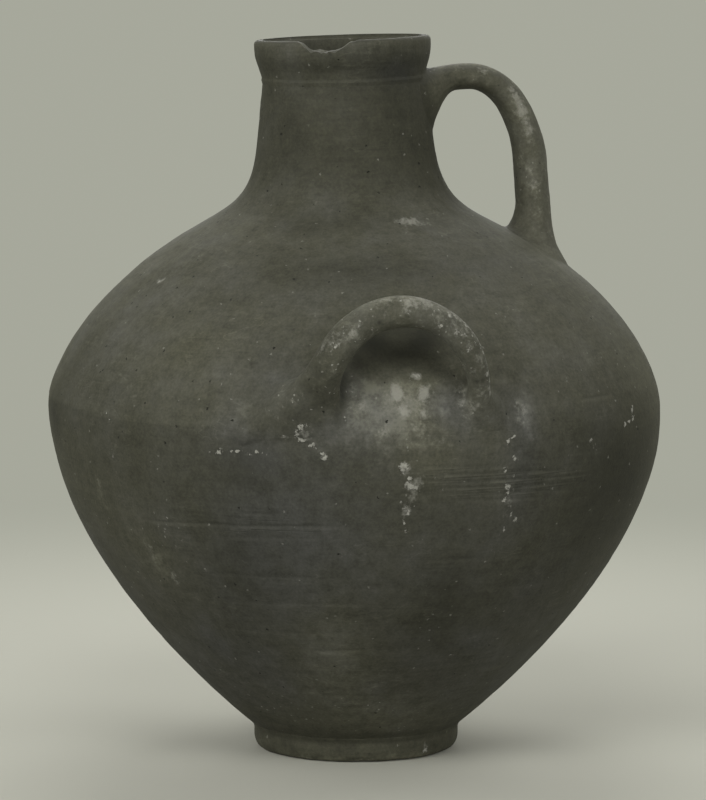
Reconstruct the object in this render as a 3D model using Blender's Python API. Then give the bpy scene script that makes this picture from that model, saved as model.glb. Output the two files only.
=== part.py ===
# A hand-thrown clay water jug: foot ring, two-part body, neck, rim collar,
# an upright pouring handle and two side handles for carrying, all luted on with slip.
# Metres, +Z up. The foot stands on the ground at the origin, and the pouring handle is on +X.

import math

import bmesh
import bpy
from mathutils import Matrix, Vector
from mathutils.geometry import interpolate_bezier

# Foot ring
foot_radius = 0.0585
foot_height = 0.0138
foot_width = 0.0135
foot_edge_run = 0.0045  # rounding of the outer bottom edge, along the ground
foot_edge_rise = 0.0075  # the same rounding, up the side
foot_inner_round = 0.002
slip_gap = 0.0003  # the film of slip between luted faces

# Body, on its outer side, from the foot up
base_overhang = 0.0008  # how far the wall starts outside the foot ring
base_flare = math.radians(38.6)  # slope of the wall where it leaves the foot
belly_radius = 0.1738
belly_rise = 0.1829  # from the foot's seat to the widest place
shoulder_radius = 0.0986  # where the shoulder stops bulging and starts to hollow
shoulder_rise = 0.0943
shoulder_slope = math.radians(30.6)
body_wall = 0.0075
base_drop = 0.0048  # the turned disc under the body that the foot ring is set round
base_thickness = 0.0092
floor_corner = 0.0193  # how far inside the base's edge the flat floor starts
seam_above_belly = 0.0065  # where the two thrown halves are joined
seam_groove = 0.0025
joint_above_shoulder = 0.0207  # where the neck is luted to the upper body

# Neck and collar
neck_root_radius = 0.0503
neck_root_rise = 0.0532  # from the shoulder to where the neck gets straight
neck_taper = 0.0043
neck_length = 0.0350
neck_wall = 0.0065
ridge_swell = 0.0007
ridge_rise = 0.0023
collar_step_rise = 0.0014
collar_step = 0.0002
tongue_wall = 0.0031  # the part of the neck's wall that stands up inside the collar
tongue_rise = 0.0075
collar_rise = 0.0153
collar_flare = 0.0037
rim_rise = 0.0060
rim_wall = 0.0071
lip_round = 0.0026
mouth_bevel = 0.0022

# Radii and heights that follow
foot_inner_radius = foot_radius - foot_width
base_radius = foot_radius + base_overhang
seat_height = foot_height + slip_gap
floor_radius = base_radius - floor_corner
floor_height = seat_height - base_drop + base_thickness
belly_height = seat_height + belly_rise
seam_height = belly_height + seam_above_belly
shoulder_height = belly_height + shoulder_rise
neck_joint_height = shoulder_height + joint_above_shoulder
neck_root_height = shoulder_height + neck_root_rise
waist_radius = neck_root_radius - neck_taper
waist_height = neck_root_height + neck_length
ridge_height = waist_height + ridge_rise
collar_height = ridge_height + collar_step_rise
collar_foot_radius = waist_radius + collar_step
rim_radius = collar_foot_radius + collar_flare
rim_swell_height = collar_height + collar_rise
rim_height = rim_swell_height + rim_rise
mouth_radius = rim_radius - rim_wall

# How the clay settled while it was wet
belly_lean = 0.0013
belly_lean_run = 0.0385  # below the seam
neck_lean = 0.0040
neck_lean_run = 0.0500  # below the neck's joint
neck_tilt = math.radians(1.7)
rim_nod = math.radians(1.0)  # the rim is a little higher at the front than at the back

# Chip out of the rim
chip_direction = math.radians(-109.0)
chip_width = 0.038
chip_depth = 0.0078

# Pouring handle, on its centre line, from its root on the neck
pour_root_drop = 0.0020  # below the waist
pour_arch_rise = 0.0045
pour_arch_run = 0.0255  # from the neck's side to the top of the arch
pour_leg_run = 0.0552  # from the neck's true side to the leg's outermost place
pour_leg_drop = 0.0550
pour_shoulder_drop = 0.0043  # how far its lower root is below the shoulder's turn
pour_thickness = 0.0193
pour_width = 0.0290
pour_neck_flare_run = 0.018  # how far from the wall the root starts to spread
pour_shoulder_flare_run = 0.026

# Side handles, on their centre line
side_root_rise = 0.0132  # above the seam
side_half_span = 0.0430
side_stand_off = 0.0052  # how far the loop's top stands out past the belly
side_loop_rise = 0.0513
side_thickness = 0.0186
side_right_flare_run = 0.012
side_left_flare_run = 0.030
front_handle_turn = math.radians(-1.6)
back_handle_turn = math.radians(180.0)
root_bury = 0.014  # how far a handle's path runs on under the wall, before the wall trims it

# Handle places that follow
pour_neck_root = waist_height - pour_root_drop
pour_arch_height = pour_neck_root + pour_arch_rise
pour_leg_reach = waist_radius + pour_leg_run
pour_leg_height = pour_arch_height - pour_leg_drop
pour_shoulder_root = shoulder_height - pour_shoulder_drop
side_root_height = seam_height + side_root_rise
side_apex_reach = belly_radius + side_stand_off
side_apex_height = side_root_height + side_loop_rise

# Working values
weld = 0.000001
cutter_overrun = 0.010
sharp_angle = math.radians(40.0)  # edges sharper than this stay crisp
clay_roughness = 0.85
cutter_colour = (0.5, 0.5, 0.5)

# Shapes as shares: Bezier pulls as shares of the distance between an arc's ends
low_wall_pull_shares = (0.099, 0.397)
high_wall_pull_shares = (0.148, 0.548)
neck_root_pull_shares = (0.482, 0.484)
floor_pull_shares = (0.35, 0.45)
collar_pull_shares = (0.42, 0.36)

# Chip outline: place across the chip and depth, as shares of its width and depth
chip_shares = (
    (0.00, 0.00),
    (0.09, 0.20),
    (0.18, 0.56),
    (0.25, 0.87),
    (0.37, 0.80),
    (0.48, 1.00),
    (0.61, 0.82),
    (0.73, 0.52),
    (0.88, 0.14),
    (1.00, 0.00),
)
chip_inner_depth_share = 0.66
chip_inner_width_share = 0.86

# Handle sections: place along the path, then thickness and width as shares of the nominal ones
pour_section_shares = (
    (0.00, 0.80, 1.04),
    (0.22, 0.77, 0.96),
    (0.50, 0.93, 0.98),
    (0.70, 1.00, 1.00),
    (1.00, 1.00, 1.00),
)
side_section_shares = (
    (0.00, 0.74, 0.60),
    (0.16, 0.78, 0.66),
    (0.34, 0.92, 0.87),
    (0.50, 1.00, 0.94),
    (0.66, 1.00, 0.96),
    (0.82, 0.96, 0.96),
    (1.00, 0.94, 0.92),
)

# How a root spreads where it meets the wall, as shares of half the nominal thickness or width:
# away from the loop's centre and towards it in the thickness, then the same two in the width
pour_neck_flare_shares = (0.05, 2.05, 0.35, 0.35)
pour_shoulder_flare_shares = (0.30, 2.10, 0.45, 0.45)
side_right_flare_shares = (0.40, 0.12, 0.50, 0.34)
side_left_flare_shares = (0.30, 0.10, 1.70, 0.45)
flare_power = 2
buried_flare_share = 0.3  # how far under the wall a root still spreads, as a share of its flare's run

pour_neck_pull_shares = (0.30, 0.42)
pour_arch_pull_shares = (0.33, 0.41)
pour_leg_pull_shares = (0.33, 0.33)
side_pull_shares = (0.48, 0.38)
side_leave_shares = (0.04, -0.61, 0.85)  # the way a leg leaves the wall: sideways, outwards, upwards
end_ring_share = 0.55  # how much closer the rings stand towards a handle's two ends

# Counts
sides = 56
arc_points = 48
section_sides = 14
pour_rings = 34
side_rings = 30
low_wall_rows = 14
high_wall_rows = 13
neck_rows = 8
collar_rows = 5
round_rows = 4


def clear_scene():
    for old in list(bpy.data.objects):
        bpy.data.objects.remove(old, do_unlink=True)


def ease(value, low, high):
    share = min(max((value - low) / (high - low), 0), 1)
    return share * share * (3 - 2 * share)


def settle(point):
    """Moves a point of the true turned form to where the leaning jug has it."""
    x, y, z = point
    shift = belly_lean * ease(z, seam_height - belly_lean_run, seam_height)
    shift += neck_lean * ease(z, neck_joint_height - neck_lean_run, neck_joint_height)
    shift += math.tan(neck_tilt) * max(z - neck_joint_height, 0)
    lift = math.tan(neck_tilt) * x * ease(z, neck_joint_height, rim_height)
    lift -= math.tan(rim_nod) * y * ease(z, collar_height, rim_height)
    return Vector((x - shift, y, z + lift))


def arc(start, leave, end, arrive, pull_shares, count):
    """Points of a Bezier arc that leaves start and reaches end along the given directions."""
    chord = (end - start).length
    first = start + leave.normalized() * chord * pull_shares[0]
    last = end - arrive.normalized() * chord * pull_shares[1]
    return interpolate_bezier(start, first, last, end, count)


def outer_wall_line():
    """The outer side from the foot to the waist, as dense points (radius, 0, height)."""
    base = Vector((base_radius, 0, seat_height))
    belly = Vector((belly_radius, 0, belly_height))
    shoulder = Vector((shoulder_radius, 0, shoulder_height))
    root = Vector((neck_root_radius, 0, neck_root_height))
    waist = Vector((waist_radius, 0, waist_height))
    up = Vector((0, 0, 1))
    flare = Vector((math.cos(base_flare), 0, math.sin(base_flare)))
    slope = Vector((-math.cos(shoulder_slope), 0, math.sin(shoulder_slope)))
    line = arc(base, flare, belly, up, low_wall_pull_shares, arc_points)
    line += arc(belly, up, shoulder, slope, high_wall_pull_shares, arc_points)[1:]
    line += arc(shoulder, slope, root, waist - root, neck_root_pull_shares, arc_points)[1:]
    line += arc(root, waist - root, waist, waist - root, (1 / 3, 1 / 3), arc_points)[1:]
    return line


clear_scene()
wall_line = outer_wall_line()


def wall_thickness(height):
    taper = ease(height, shoulder_height, neck_joint_height)
    return body_wall + (neck_wall - body_wall) * taper


def wall_at(height, depth_share=0, slide=0):
    """A point of the wall's section: how deep into the wall, and how far slid along it."""
    last = len(wall_line) - 1
    above = next((i for i, point in enumerate(wall_line) if point.z > height), last)
    low, high = wall_line[max(above, 1) - 1], wall_line[max(above, 1)]
    share = (height - low.z) / (high.z - low.z)
    along = wall_line[min(above + 1, last)] - wall_line[max(above - 2, 0)]
    along.normalize()
    inward = Vector((-along.z, 0, along.x))
    return low.lerp(high, share) + inward * wall_thickness(height) * depth_share + along * slide


def row_heights(low, high, count):
    """Heights of rows that are evenly spaced along the wall from low to high."""
    steps = count * arc_points
    spaced = [low + (high - low) * step / steps for step in range(steps + 1)]
    travelled = [0]
    for before, after in zip(spaced, spaced[1:]):
        travelled.append(travelled[-1] + (wall_at(after) - wall_at(before)).length)
    heights = []
    for row in range(count + 1):
        goal = travelled[-1] * row / count
        nearest = min(range(steps + 1), key=lambda step: abs(travelled[step] - goal))
        heights.append(spaced[nearest])
    return heights


def clay(name, colour):
    material = bpy.data.materials.new(name)
    material.use_nodes = True
    shader = material.node_tree.nodes["Principled BSDF"]
    shader.inputs["Base Color"].default_value = (*colour, 1)
    shader.inputs["Roughness"].default_value = clay_roughness
    shader.inputs["Metallic"].default_value = 0
    material.diffuse_color = (*colour, 1)
    return material


def add_piece(name, mesh_data, place, colour):
    """Makes a named object of a bmesh in world coordinates, with its origin at place."""
    bmesh.ops.remove_doubles(mesh_data, verts=mesh_data.verts, dist=weld)
    bmesh.ops.recalc_face_normals(mesh_data, faces=mesh_data.faces)
    mesh_data.transform(Matrix.Translation(-place))
    mesh = bpy.data.meshes.new(name)
    mesh_data.to_mesh(mesh)
    mesh_data.free()
    mesh.shade_smooth()
    mesh.set_sharp_from_angle(angle=sharp_angle)
    mesh.materials.append(clay(name + "_clay", colour))
    piece = bpy.data.objects.new(name, mesh)
    piece.location = place
    bpy.context.scene.collection.objects.link(piece)
    return piece


def turned(outline, closed):
    """Spins an outline of (radius, 0, height) points round the jug's axis and lets it settle."""
    shape = bmesh.new()
    points = [shape.verts.new(point) for point in outline]
    edges = [shape.edges.new(pair) for pair in zip(points, points[1:])]
    if closed:
        edges.append(shape.edges.new((points[-1], points[0])))
    turn = {"axis": Vector((0, 0, 1)), "angle": math.tau, "steps": sides, "use_merge": True}
    bmesh.ops.spin(shape, geom=points + edges, cent=Vector(), **turn)
    for vertex in shape.verts:
        vertex.co = settle(vertex.co)
    return shape


def quarter_round(corner, first, second):
    """Points of a rounded corner, from corner plus first to corner plus second."""
    centre = corner + first + second
    points = []
    for step in range(round_rows + 1):
        angle = math.pi / 2 * step / round_rows
        points.append(centre - second * math.cos(angle) - first * math.sin(angle))
    return points


def foot_ring():
    outer = Vector((foot_radius, 0, 0))
    inner = Vector((foot_inner_radius, 0, 0))
    outline = [Vector((foot_radius, 0, foot_height))]
    outline += quarter_round(outer, Vector((0, 0, foot_edge_rise)), Vector((-foot_edge_run, 0, 0)))
    outline += quarter_round(inner, Vector((foot_inner_round, 0, 0)), Vector((0, 0, foot_inner_round)))
    outline += [Vector((foot_inner_radius, 0, foot_height))]
    return turned(outline, closed=True)


def base_underside():
    """The flat that the foot ring is luted to, and the turned disc that it is set round."""
    disc_radius = foot_inner_radius - slip_gap
    return [
        Vector((0, 0, seat_height - base_drop)),
        Vector((disc_radius, 0, seat_height - base_drop)),
        Vector((disc_radius, 0, seat_height)),
    ]


def lower_body():
    half_gap = slip_gap / 2
    heights = row_heights(seat_height, seam_height, low_wall_rows)
    outline = base_underside()
    outline += [wall_at(height) for height in heights[:-1]]
    outline.append(wall_at(seam_height, 0, -half_gap))
    outline.append(wall_at(seam_height, 0.5, -half_gap - seam_groove))
    outline.append(wall_at(seam_height, 1, -half_gap))
    inner = [wall_at(height, 1) for height in heights[1:-1:2]]
    outline += reversed(inner)
    floor_edge = Vector((floor_radius, 0, floor_height))
    leave = inner[0] - inner[1]
    inward = Vector((-1, 0, 0))
    outline += arc(inner[0], leave, floor_edge, inward, floor_pull_shares, round_rows + 2)[1:]
    outline.append(Vector((0, 0, floor_height)))
    return turned(outline, closed=False)


def upper_body():
    half_gap = slip_gap / 2
    heights = row_heights(seam_height, neck_joint_height, high_wall_rows)
    outline = [wall_at(seam_height, 1, half_gap)]
    outline.append(wall_at(seam_height, 0.5, half_gap - seam_groove))
    outline.append(wall_at(seam_height, 0, half_gap))
    outline += [wall_at(height) for height in heights[1:-1]]
    outline.append(wall_at(neck_joint_height, 0, -half_gap))
    outline.append(wall_at(neck_joint_height, 1, -half_gap))
    outline += [wall_at(height, 1) for height in heights[-3:1:-2]]
    return turned(outline, closed=True)


def tongue_radius():
    return waist_radius - neck_wall + tongue_wall


def neck():
    half_gap = slip_gap / 2
    heights = row_heights(neck_joint_height, waist_height, neck_rows)
    bore_radius = waist_radius - neck_wall
    outline = [wall_at(neck_joint_height, 1, half_gap)]
    outline.append(wall_at(neck_joint_height, 0, half_gap))
    outline += [wall_at(height) for height in heights[1:]]
    outline.append(Vector((waist_radius + ridge_swell, 0, ridge_height)))
    outline.append(Vector((collar_foot_radius, 0, collar_height)))
    outline.append(Vector((tongue_radius(), 0, collar_height)))
    outline.append(Vector((tongue_radius(), 0, collar_height + tongue_rise)))
    outline.append(Vector((bore_radius, 0, collar_height + tongue_rise)))
    outline += [wall_at(height, 1) for height in heights[-2:1:-2]]
    return turned(outline, closed=True)


def collar_side():
    """The collar's outer side, hollow above its foot and swelling to the rim, then the rounded lip."""
    foot = Vector((collar_foot_radius, 0, collar_height + slip_gap))
    swell = Vector((rim_radius, 0, rim_swell_height))
    lean_out = Vector((rim_radius - collar_foot_radius, 0, rim_swell_height - collar_height))
    side = arc(foot, lean_out, swell, Vector((0, 0, 1)), collar_pull_shares, collar_rows + 1)
    lip = Vector((rim_radius, 0, rim_height))
    rounded = quarter_round(lip, Vector((0, 0, -lip_round)), Vector((-lip_round, 0, 0)))
    return side + rounded


def rim_collar():
    tongue_top = collar_height + tongue_rise + slip_gap
    bore_radius = waist_radius - neck_wall
    outline = collar_side()
    outline.append(Vector((mouth_radius + mouth_bevel, 0, rim_height)))
    outline.append(Vector((mouth_radius, 0, rim_height - mouth_bevel)))
    outline.append(Vector((bore_radius, 0, tongue_top)))
    outline.append(Vector((tongue_radius() + slip_gap, 0, tongue_top)))
    outline.append(Vector((tongue_radius() + slip_gap, 0, collar_height + slip_gap)))
    return turned(outline, closed=True)


def loft(rings):
    """Joins rings of equal point counts into a closed tube with capped ends."""
    shape = bmesh.new()
    loops = [[shape.verts.new(point) for point in ring] for ring in rings]
    for low, high in zip(loops, loops[1:]):
        for index in range(len(low)):
            after = (index + 1) % len(low)
            shape.faces.new((low[index], low[after], high[after], high[index]))
    shape.faces.new(loops[0])
    shape.faces.new(reversed(loops[-1]))
    return shape


def section_at(share, table):
    """Thickness and width shares at a place along a handle, eased between the table's places."""
    for before, after in zip(table, table[1:]):
        if share <= after[0]:
            blend = ease(share, before[0], after[0])
            return [low + (high - low) * blend for low, high in zip(before[1:], after[1:])]
    return table[-1][1:]


def distances_along(path):
    travelled = [0]
    for before, after in zip(path, path[1:]):
        travelled.append(travelled[-1] + (after - before).length)
    return travelled


def point_along(path, travelled, goal):
    index = next((i for i, distance in enumerate(travelled[1:-1]) if distance > goal), len(path) - 2)
    share = (goal - travelled[index]) / (travelled[index + 1] - travelled[index])
    return path[index].lerp(path[index + 1], share)


def spread(distance, run):
    """How much of its flare a root has at a distance from the wall, growing a little more under it."""
    share = max(distance / run, -buried_flare_share)
    return max(1 - share, 0) ** flare_power


def swept(path, across, thickness, width, table, runs, flares, rings):
    """Sweeps an oval along a path whose two ends are buried, spreading it where it meets the wall."""
    travelled = distances_along(path)
    length = travelled[-1]
    loops = []
    for ring in range(rings):
        share = ring / (rings - 1)
        share += (share - (1 - math.cos(math.pi * share)) / 2) * -end_ring_share
        goal = length * share
        centre = point_along(path, travelled, goal)
        step = length / rings / 2
        along = point_along(path, travelled, min(goal + step, length))
        along = (along - point_along(path, travelled, max(goal - step, 0))).normalized()
        sideways = across(centre)
        sideways = (sideways - along * sideways.dot(along)).normalized()
        outward = along.cross(sideways)
        thick_share, wide_share = section_at(share, table)
        first = spread(goal - root_bury, runs[0])
        last = spread(length - goal - root_bury, runs[1])
        flare = [first * start + last * end for start, end in zip(*flares)]
        loop = []
        for index in range(section_sides):
            angle = math.tau * index / section_sides
            flat, wide = math.cos(angle), math.sin(angle)
            thick = thick_share + (flare[0] if flat > 0 else flare[1])
            broad = wide_share + (flare[2] if wide > 0 else flare[3])
            offset = outward * flat * thick * thickness / 2 + sideways * wide * broad * width / 2
            loop.append(centre + offset)
        loops.append(loop)
    return loft(loops)


def with_buried_ends(path):
    """The path, run straight on at both ends so that it finishes under the wall."""
    first = path[0] + (path[0] - path[1]).normalized() * root_bury
    last = path[-1] + (path[-1] - path[-2]).normalized() * root_bury
    return [first, *path, last]


def pouring_handle():
    neck_side = settle(wall_at(pour_neck_root))
    shoulder_side = settle(wall_at(pour_shoulder_root))
    arch_top = Vector((neck_side.x + pour_arch_run, 0, pour_arch_height))
    leg = Vector((pour_leg_reach, 0, pour_leg_height))
    out = Vector((1, 0, 0))
    rise = arch_top - neck_side
    drop = shoulder_side - leg
    path = arc(neck_side, rise, arch_top, out, pour_neck_pull_shares, arc_points)
    path += arc(arch_top, out, leg, drop, pour_arch_pull_shares, arc_points)[1:]
    path += arc(leg, drop, shoulder_side, drop, pour_leg_pull_shares, arc_points)[1:]
    across = lambda centre: Vector((0, 1, 0))
    runs = (pour_neck_flare_run, pour_shoulder_flare_run)
    flares = (pour_neck_flare_shares, pour_shoulder_flare_shares)
    path = with_buried_ends(path)
    return swept(path, across, pour_thickness, pour_width, pour_section_shares, runs, flares, pour_rings)


def side_handle():
    """A coil bent into an upright loop on the -Y side, its two legs rooted on the belly."""
    wall_radius = wall_at(side_root_height).x
    root_reach = math.sqrt(wall_radius ** 2 - side_half_span ** 2)
    root = Vector((side_half_span, -root_reach, side_root_height))
    apex = Vector((0, -side_apex_reach, side_apex_height))
    leave = Vector(side_leave_shares)
    half = arc(root, leave, apex, Vector((-1, 0, 0)), side_pull_shares, arc_points)
    other_half = [Vector((-point.x, point.y, point.z)) for point in reversed(half[:-1])]
    across = lambda centre: Vector((centre.x, 0, centre.z - side_root_height))
    runs = (side_right_flare_run, side_left_flare_run)
    flares = (side_right_flare_shares, side_left_flare_shares)
    path = with_buried_ends(half + other_half)
    return swept(path, across, side_thickness, side_thickness, side_section_shares, runs, flares, side_rings)


def chip_cutter():
    """An uneven wedge that takes the chip out of the rim. Its inner outline is smaller and shallower."""
    radial = Vector((math.cos(chip_direction), math.sin(chip_direction), 0))
    chordwise = Vector((-radial.y, radial.x, 0))
    inner_reach = mouth_radius - cutter_overrun
    outer_reach = rim_radius + cutter_overrun
    rings = []
    for reach, depth_share, width_share in (
        (inner_reach, chip_inner_depth_share, chip_inner_width_share),
        (outer_reach, 1, 1),
    ):
        ring = []
        for place, depth in chip_shares:
            across = (place - 0.5) * chip_width * width_share
            height = rim_height - depth * chip_depth * depth_share
            ring.append(settle(radial * reach + chordwise * across + Vector((0, 0, height))))
        ring.append(ring[-1] + Vector((0, 0, cutter_overrun)))
        ring.append(ring[0] + Vector((0, 0, cutter_overrun)))
        rings.append(ring)
    return loft(rings)


def wall_form():
    """The jug's solid outer form, grown by the slip gap. It trims the handles to the wall."""
    heights = row_heights(seat_height, seam_height, low_wall_rows)
    heights += row_heights(seam_height, neck_joint_height, high_wall_rows)[1:]
    heights += row_heights(neck_joint_height, waist_height, neck_rows)[1:]
    line = [wall_at(height) for height in heights]
    line.append(Vector((waist_radius + ridge_swell, 0, ridge_height)))
    line.append(Vector((collar_foot_radius, 0, collar_height)))
    line += collar_side()[1:]
    outline = [Vector((0, 0, line[0].z))]
    for index, point in enumerate(line):
        along = (line[min(index + 1, len(line) - 1)] - line[max(index - 1, 0)]).normalized()
        outline.append(point + Vector((along.z, 0, -along.x)) * slip_gap)
    outline.append(Vector((0, 0, line[-1].z)))
    return turned(outline, closed=False)


def add_cutter(name, shape):
    cutter = add_piece(name, shape, Vector(), cutter_colour)
    cutter.hide_render = True
    cutter.display_type = "WIRE"
    return cutter


def cut(piece, cutter):
    trim = piece.modifiers.new("cut_" + cutter.name, "BOOLEAN")
    trim.operation = "DIFFERENCE"
    trim.solver = "EXACT"
    trim.object = cutter


def main():
    jug = bpy.data.objects.new("jug", None)
    bpy.context.scene.collection.objects.link(jug)
    axis_at = lambda height: Vector((0, 0, height))
    pieces = [
        add_piece("foot_ring", foot_ring(), axis_at(0), (0.036, 0.036, 0.022)),
        add_piece("lower_body", lower_body(), axis_at(seat_height), (0.051, 0.052, 0.037)),
        add_piece("upper_body", upper_body(), axis_at(seam_height), (0.078, 0.076, 0.056)),
        add_piece("neck", neck(), axis_at(neck_joint_height), (0.060, 0.059, 0.042)),
        add_piece("rim_collar", rim_collar(), axis_at(collar_height), (0.056, 0.055, 0.038)),
        add_piece("pouring_handle", pouring_handle(), axis_at(pour_shoulder_root), (0.080, 0.078, 0.058)),
        add_piece("side_handle_front", side_handle(), axis_at(side_root_height), (0.074, 0.073, 0.054)),
        add_piece("side_handle_back", side_handle(), axis_at(side_root_height), (0.074, 0.073, 0.054)),
    ]
    for piece in pieces:
        piece.parent = jug
    handles = [piece for piece in pieces if "handle" in piece.name]
    handles[1].rotation_euler.z = front_handle_turn
    handles[2].rotation_euler.z = back_handle_turn
    form = add_cutter("wall_form", wall_form())
    for handle in handles:
        cut(handle, form)
    cut(pieces[4], add_cutter("rim_chip_cutter", chip_cutter()))


main()
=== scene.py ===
import math
from itertools import product

import bpy
import numpy as np
from mathutils import Matrix, Vector


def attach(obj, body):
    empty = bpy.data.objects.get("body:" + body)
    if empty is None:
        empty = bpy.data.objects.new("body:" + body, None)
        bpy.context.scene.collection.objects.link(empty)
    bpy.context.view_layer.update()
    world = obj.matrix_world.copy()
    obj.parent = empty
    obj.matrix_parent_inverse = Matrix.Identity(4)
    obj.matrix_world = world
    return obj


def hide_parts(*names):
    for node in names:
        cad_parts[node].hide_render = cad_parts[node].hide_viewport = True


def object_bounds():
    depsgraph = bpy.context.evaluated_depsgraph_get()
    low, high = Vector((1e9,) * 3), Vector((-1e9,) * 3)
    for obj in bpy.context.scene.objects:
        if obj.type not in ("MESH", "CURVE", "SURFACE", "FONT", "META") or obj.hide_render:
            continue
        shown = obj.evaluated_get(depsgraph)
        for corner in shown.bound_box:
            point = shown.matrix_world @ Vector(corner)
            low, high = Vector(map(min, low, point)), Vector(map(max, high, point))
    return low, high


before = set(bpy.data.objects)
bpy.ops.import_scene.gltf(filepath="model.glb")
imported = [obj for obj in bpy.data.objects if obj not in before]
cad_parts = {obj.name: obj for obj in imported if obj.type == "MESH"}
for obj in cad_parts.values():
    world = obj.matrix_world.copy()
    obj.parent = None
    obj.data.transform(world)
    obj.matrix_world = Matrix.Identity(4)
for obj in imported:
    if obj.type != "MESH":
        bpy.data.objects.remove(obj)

cadBox = [list(corner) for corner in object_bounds()]
print("frame:", len(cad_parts), "nodes")

# Camera, at the photograph's viewing angle
camera = {"turn": 9.5, "tilt": 7.119, "distance": 2.693, "height": 0.535, "aside": -0.00178,
          "lens": 214.83, "sensor": 36.0, "farthest": 30.0}


def addCamera(s):
    turn, tilt = math.radians(s["turn"]), math.radians(s["tilt"])
    right = Vector((math.cos(turn), -math.sin(turn), 0))
    ahead = Vector((math.sin(turn), math.cos(turn), 0))
    look = ahead * math.cos(tilt) - Vector((0, 0, 1)) * math.sin(tilt)
    place = right * s["aside"] - ahead * s["distance"] + Vector((0, 0, s["height"]))
    data = bpy.data.cameras.new("camera")
    data.lens, data.sensor_width, data.clip_end = s["lens"], s["sensor"], s["farthest"]
    eye = bpy.data.objects.new("camera", data)
    axes = Matrix((right, right.cross(look), -look)).transposed().to_4x4()
    eye.matrix_world = Matrix.Translation(place) @ axes
    bpy.context.scene.collection.objects.link(eye)
    bpy.context.scene.camera = eye


addCamera(camera)


# Small wrapper, so that shader maths is written as plain expressions
class Value:
    def __init__(self, shader, socket):
        self.shader, self.socket = shader, socket

    def __add__(self, other):
        return self.shader.maths("ADD", self, other)

    def __sub__(self, other):
        return self.shader.maths("SUBTRACT", self, other)

    def __mul__(self, other):
        return self.shader.maths("MULTIPLY", self, other)

    def __truediv__(self, other):
        return self.shader.maths("DIVIDE", self, other)

    def __rsub__(self, other):
        return self.shader.maths("SUBTRACT", other, self)

    __radd__, __rmul__ = __add__, __mul__


class Shader:
    def __init__(self, tree):
        self.tree = tree
        tree.nodes.clear()

    def node(self, kind, settings=None, outlet=0, **sockets):
        # sockets are named by their labels with spaces as underscores, or as i0, i1 by their order
        made = self.tree.nodes.new(kind)
        for name, setting in (settings or {}).items():
            setattr(made, name, setting)
        for name, value in sockets.items():
            order = name[1:].isdigit()
            socket = made.inputs[int(name[1:]) if order else name.replace("_", " ")]
            if isinstance(value, Value):
                self.tree.links.new(value.socket, socket)
            else:
                socket.default_value = value
        return Value(self, made.outputs[outlet]) if made.outputs else made

    def maths(self, operation, *values):
        inputs = {"i%d" % i: value for i, value in enumerate(values)}
        return self.node("ShaderNodeMath", {"operation": operation}, **inputs)

    def noise(self, place, scale, detail, roughness):
        return self.node("ShaderNodeTexNoise", Vector=place, Scale=scale, Detail=detail, Roughness=roughness)

    def stretched(self, place, scale):
        return self.node("ShaderNodeMapping", i0=place, Scale=scale)

    def step(self, value, low, high):
        # 0 below low, 1 above high, smooth between
        settings = {"interpolation_type": "SMOOTHSTEP"}
        return self.node("ShaderNodeMapRange", settings, Value=value, From_Min=low, From_Max=high)

    def dots(self, place, scale, size, edge, share):
        # small round dots, one in a cell at most, in a share of the cells
        settings = {"feature": "F1"}
        near = self.node("ShaderNodeTexVoronoi", settings, Vector=place, Scale=scale)
        chance = self.node("ShaderNodeTexVoronoi", settings, outlet=1, Vector=place, Scale=scale)
        luck = self.node("ShaderNodeSeparateColor", Color=chance)
        chosen = self.step(luck, 1 - share - 0.01, 1 - share + 0.01)
        return (1 - self.step(near, size - edge, size + edge)) * chosen

    def mix(self, share, low, high, blend="MIX"):
        # inputs 6 and 7 are the two colours
        settings = {"data_type": "RGBA", "blend_type": blend}
        return self.node("ShaderNodeMix", settings, outlet=2, i0=share, i6=low, i7=high)


# Numpy helpers: a smooth step, and value noise on a hashed lattice
def ease(value, low, high):
    # 3t^2 - 2t^3, with t the share of the way from low to high
    share = np.clip((value - low) / (high - low), 0, 1)
    return share * share * (3 - 2 * share)


def lattice(node, seed):
    mixed = (node * np.array((73856093, 19349663, 83492791))).sum(-1) + seed * 40503
    mixed = (mixed ^ (mixed >> 13)) * 1274126177
    mixed = mixed ^ (mixed >> 16)
    return (mixed & 0xFFFFFF) / 0xFFFFFF


def grain(points, size, seed):
    # random numbers from -1 to 1 on a lattice of the given spacing, eased between its corners
    cell = points / size
    low = np.floor(cell).astype(np.int64)
    share = cell - low
    share = share * share * (3 - 2 * share)
    total = 0
    for corner in product((0, 1), repeat=3):
        weight = np.where(np.array(corner), share, 1 - share).prod(-1)
        total = total + weight * lattice(low + np.array(corner), seed)
    return total * 2 - 1


def roundPoint(angle, height, stretch=(1, 1, 1)):
    # a point on a cylinder, so that noise joins up round the jug
    radius = 0.12
    parts = np.broadcast_arrays(radius * np.cos(angle), radius * np.sin(angle), height)
    return np.stack(parts, -1) * np.array(stretch)


# The jug's wall: radius and height of its turned outer line, as the solids have it
wall = {
    "base": (0.0593, 0.0141), "belly": (0.1738, 0.1970), "shoulder": (0.0986, 0.2913),
    "neckRoot": (0.0503, 0.3445), "waist": (0.0460, 0.3795), "ridge": (0.0465, 0.3818),
    "collarFoot": (0.0462, 0.3832), "swell": (0.0499, 0.3985), "rim": 0.4045,
    "baseFlare": 38.6, "shoulderSlope": 30.6, "seam": 0.2035, "neckJoint": 0.3120,
    "lowPulls": (0.099, 0.397), "highPulls": (0.148, 0.548), "rootPulls": (0.482, 0.484),
    "collarPulls": (0.42, 0.36), "thickness": 0.0075, "neckThickness": 0.0065,
}
lean = {"belly": 0.0013, "bellyFrom": 0.165, "neck": 0.0040, "neckFrom": 0.262, "tilt": 1.7, "nod": 1.0}


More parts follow.
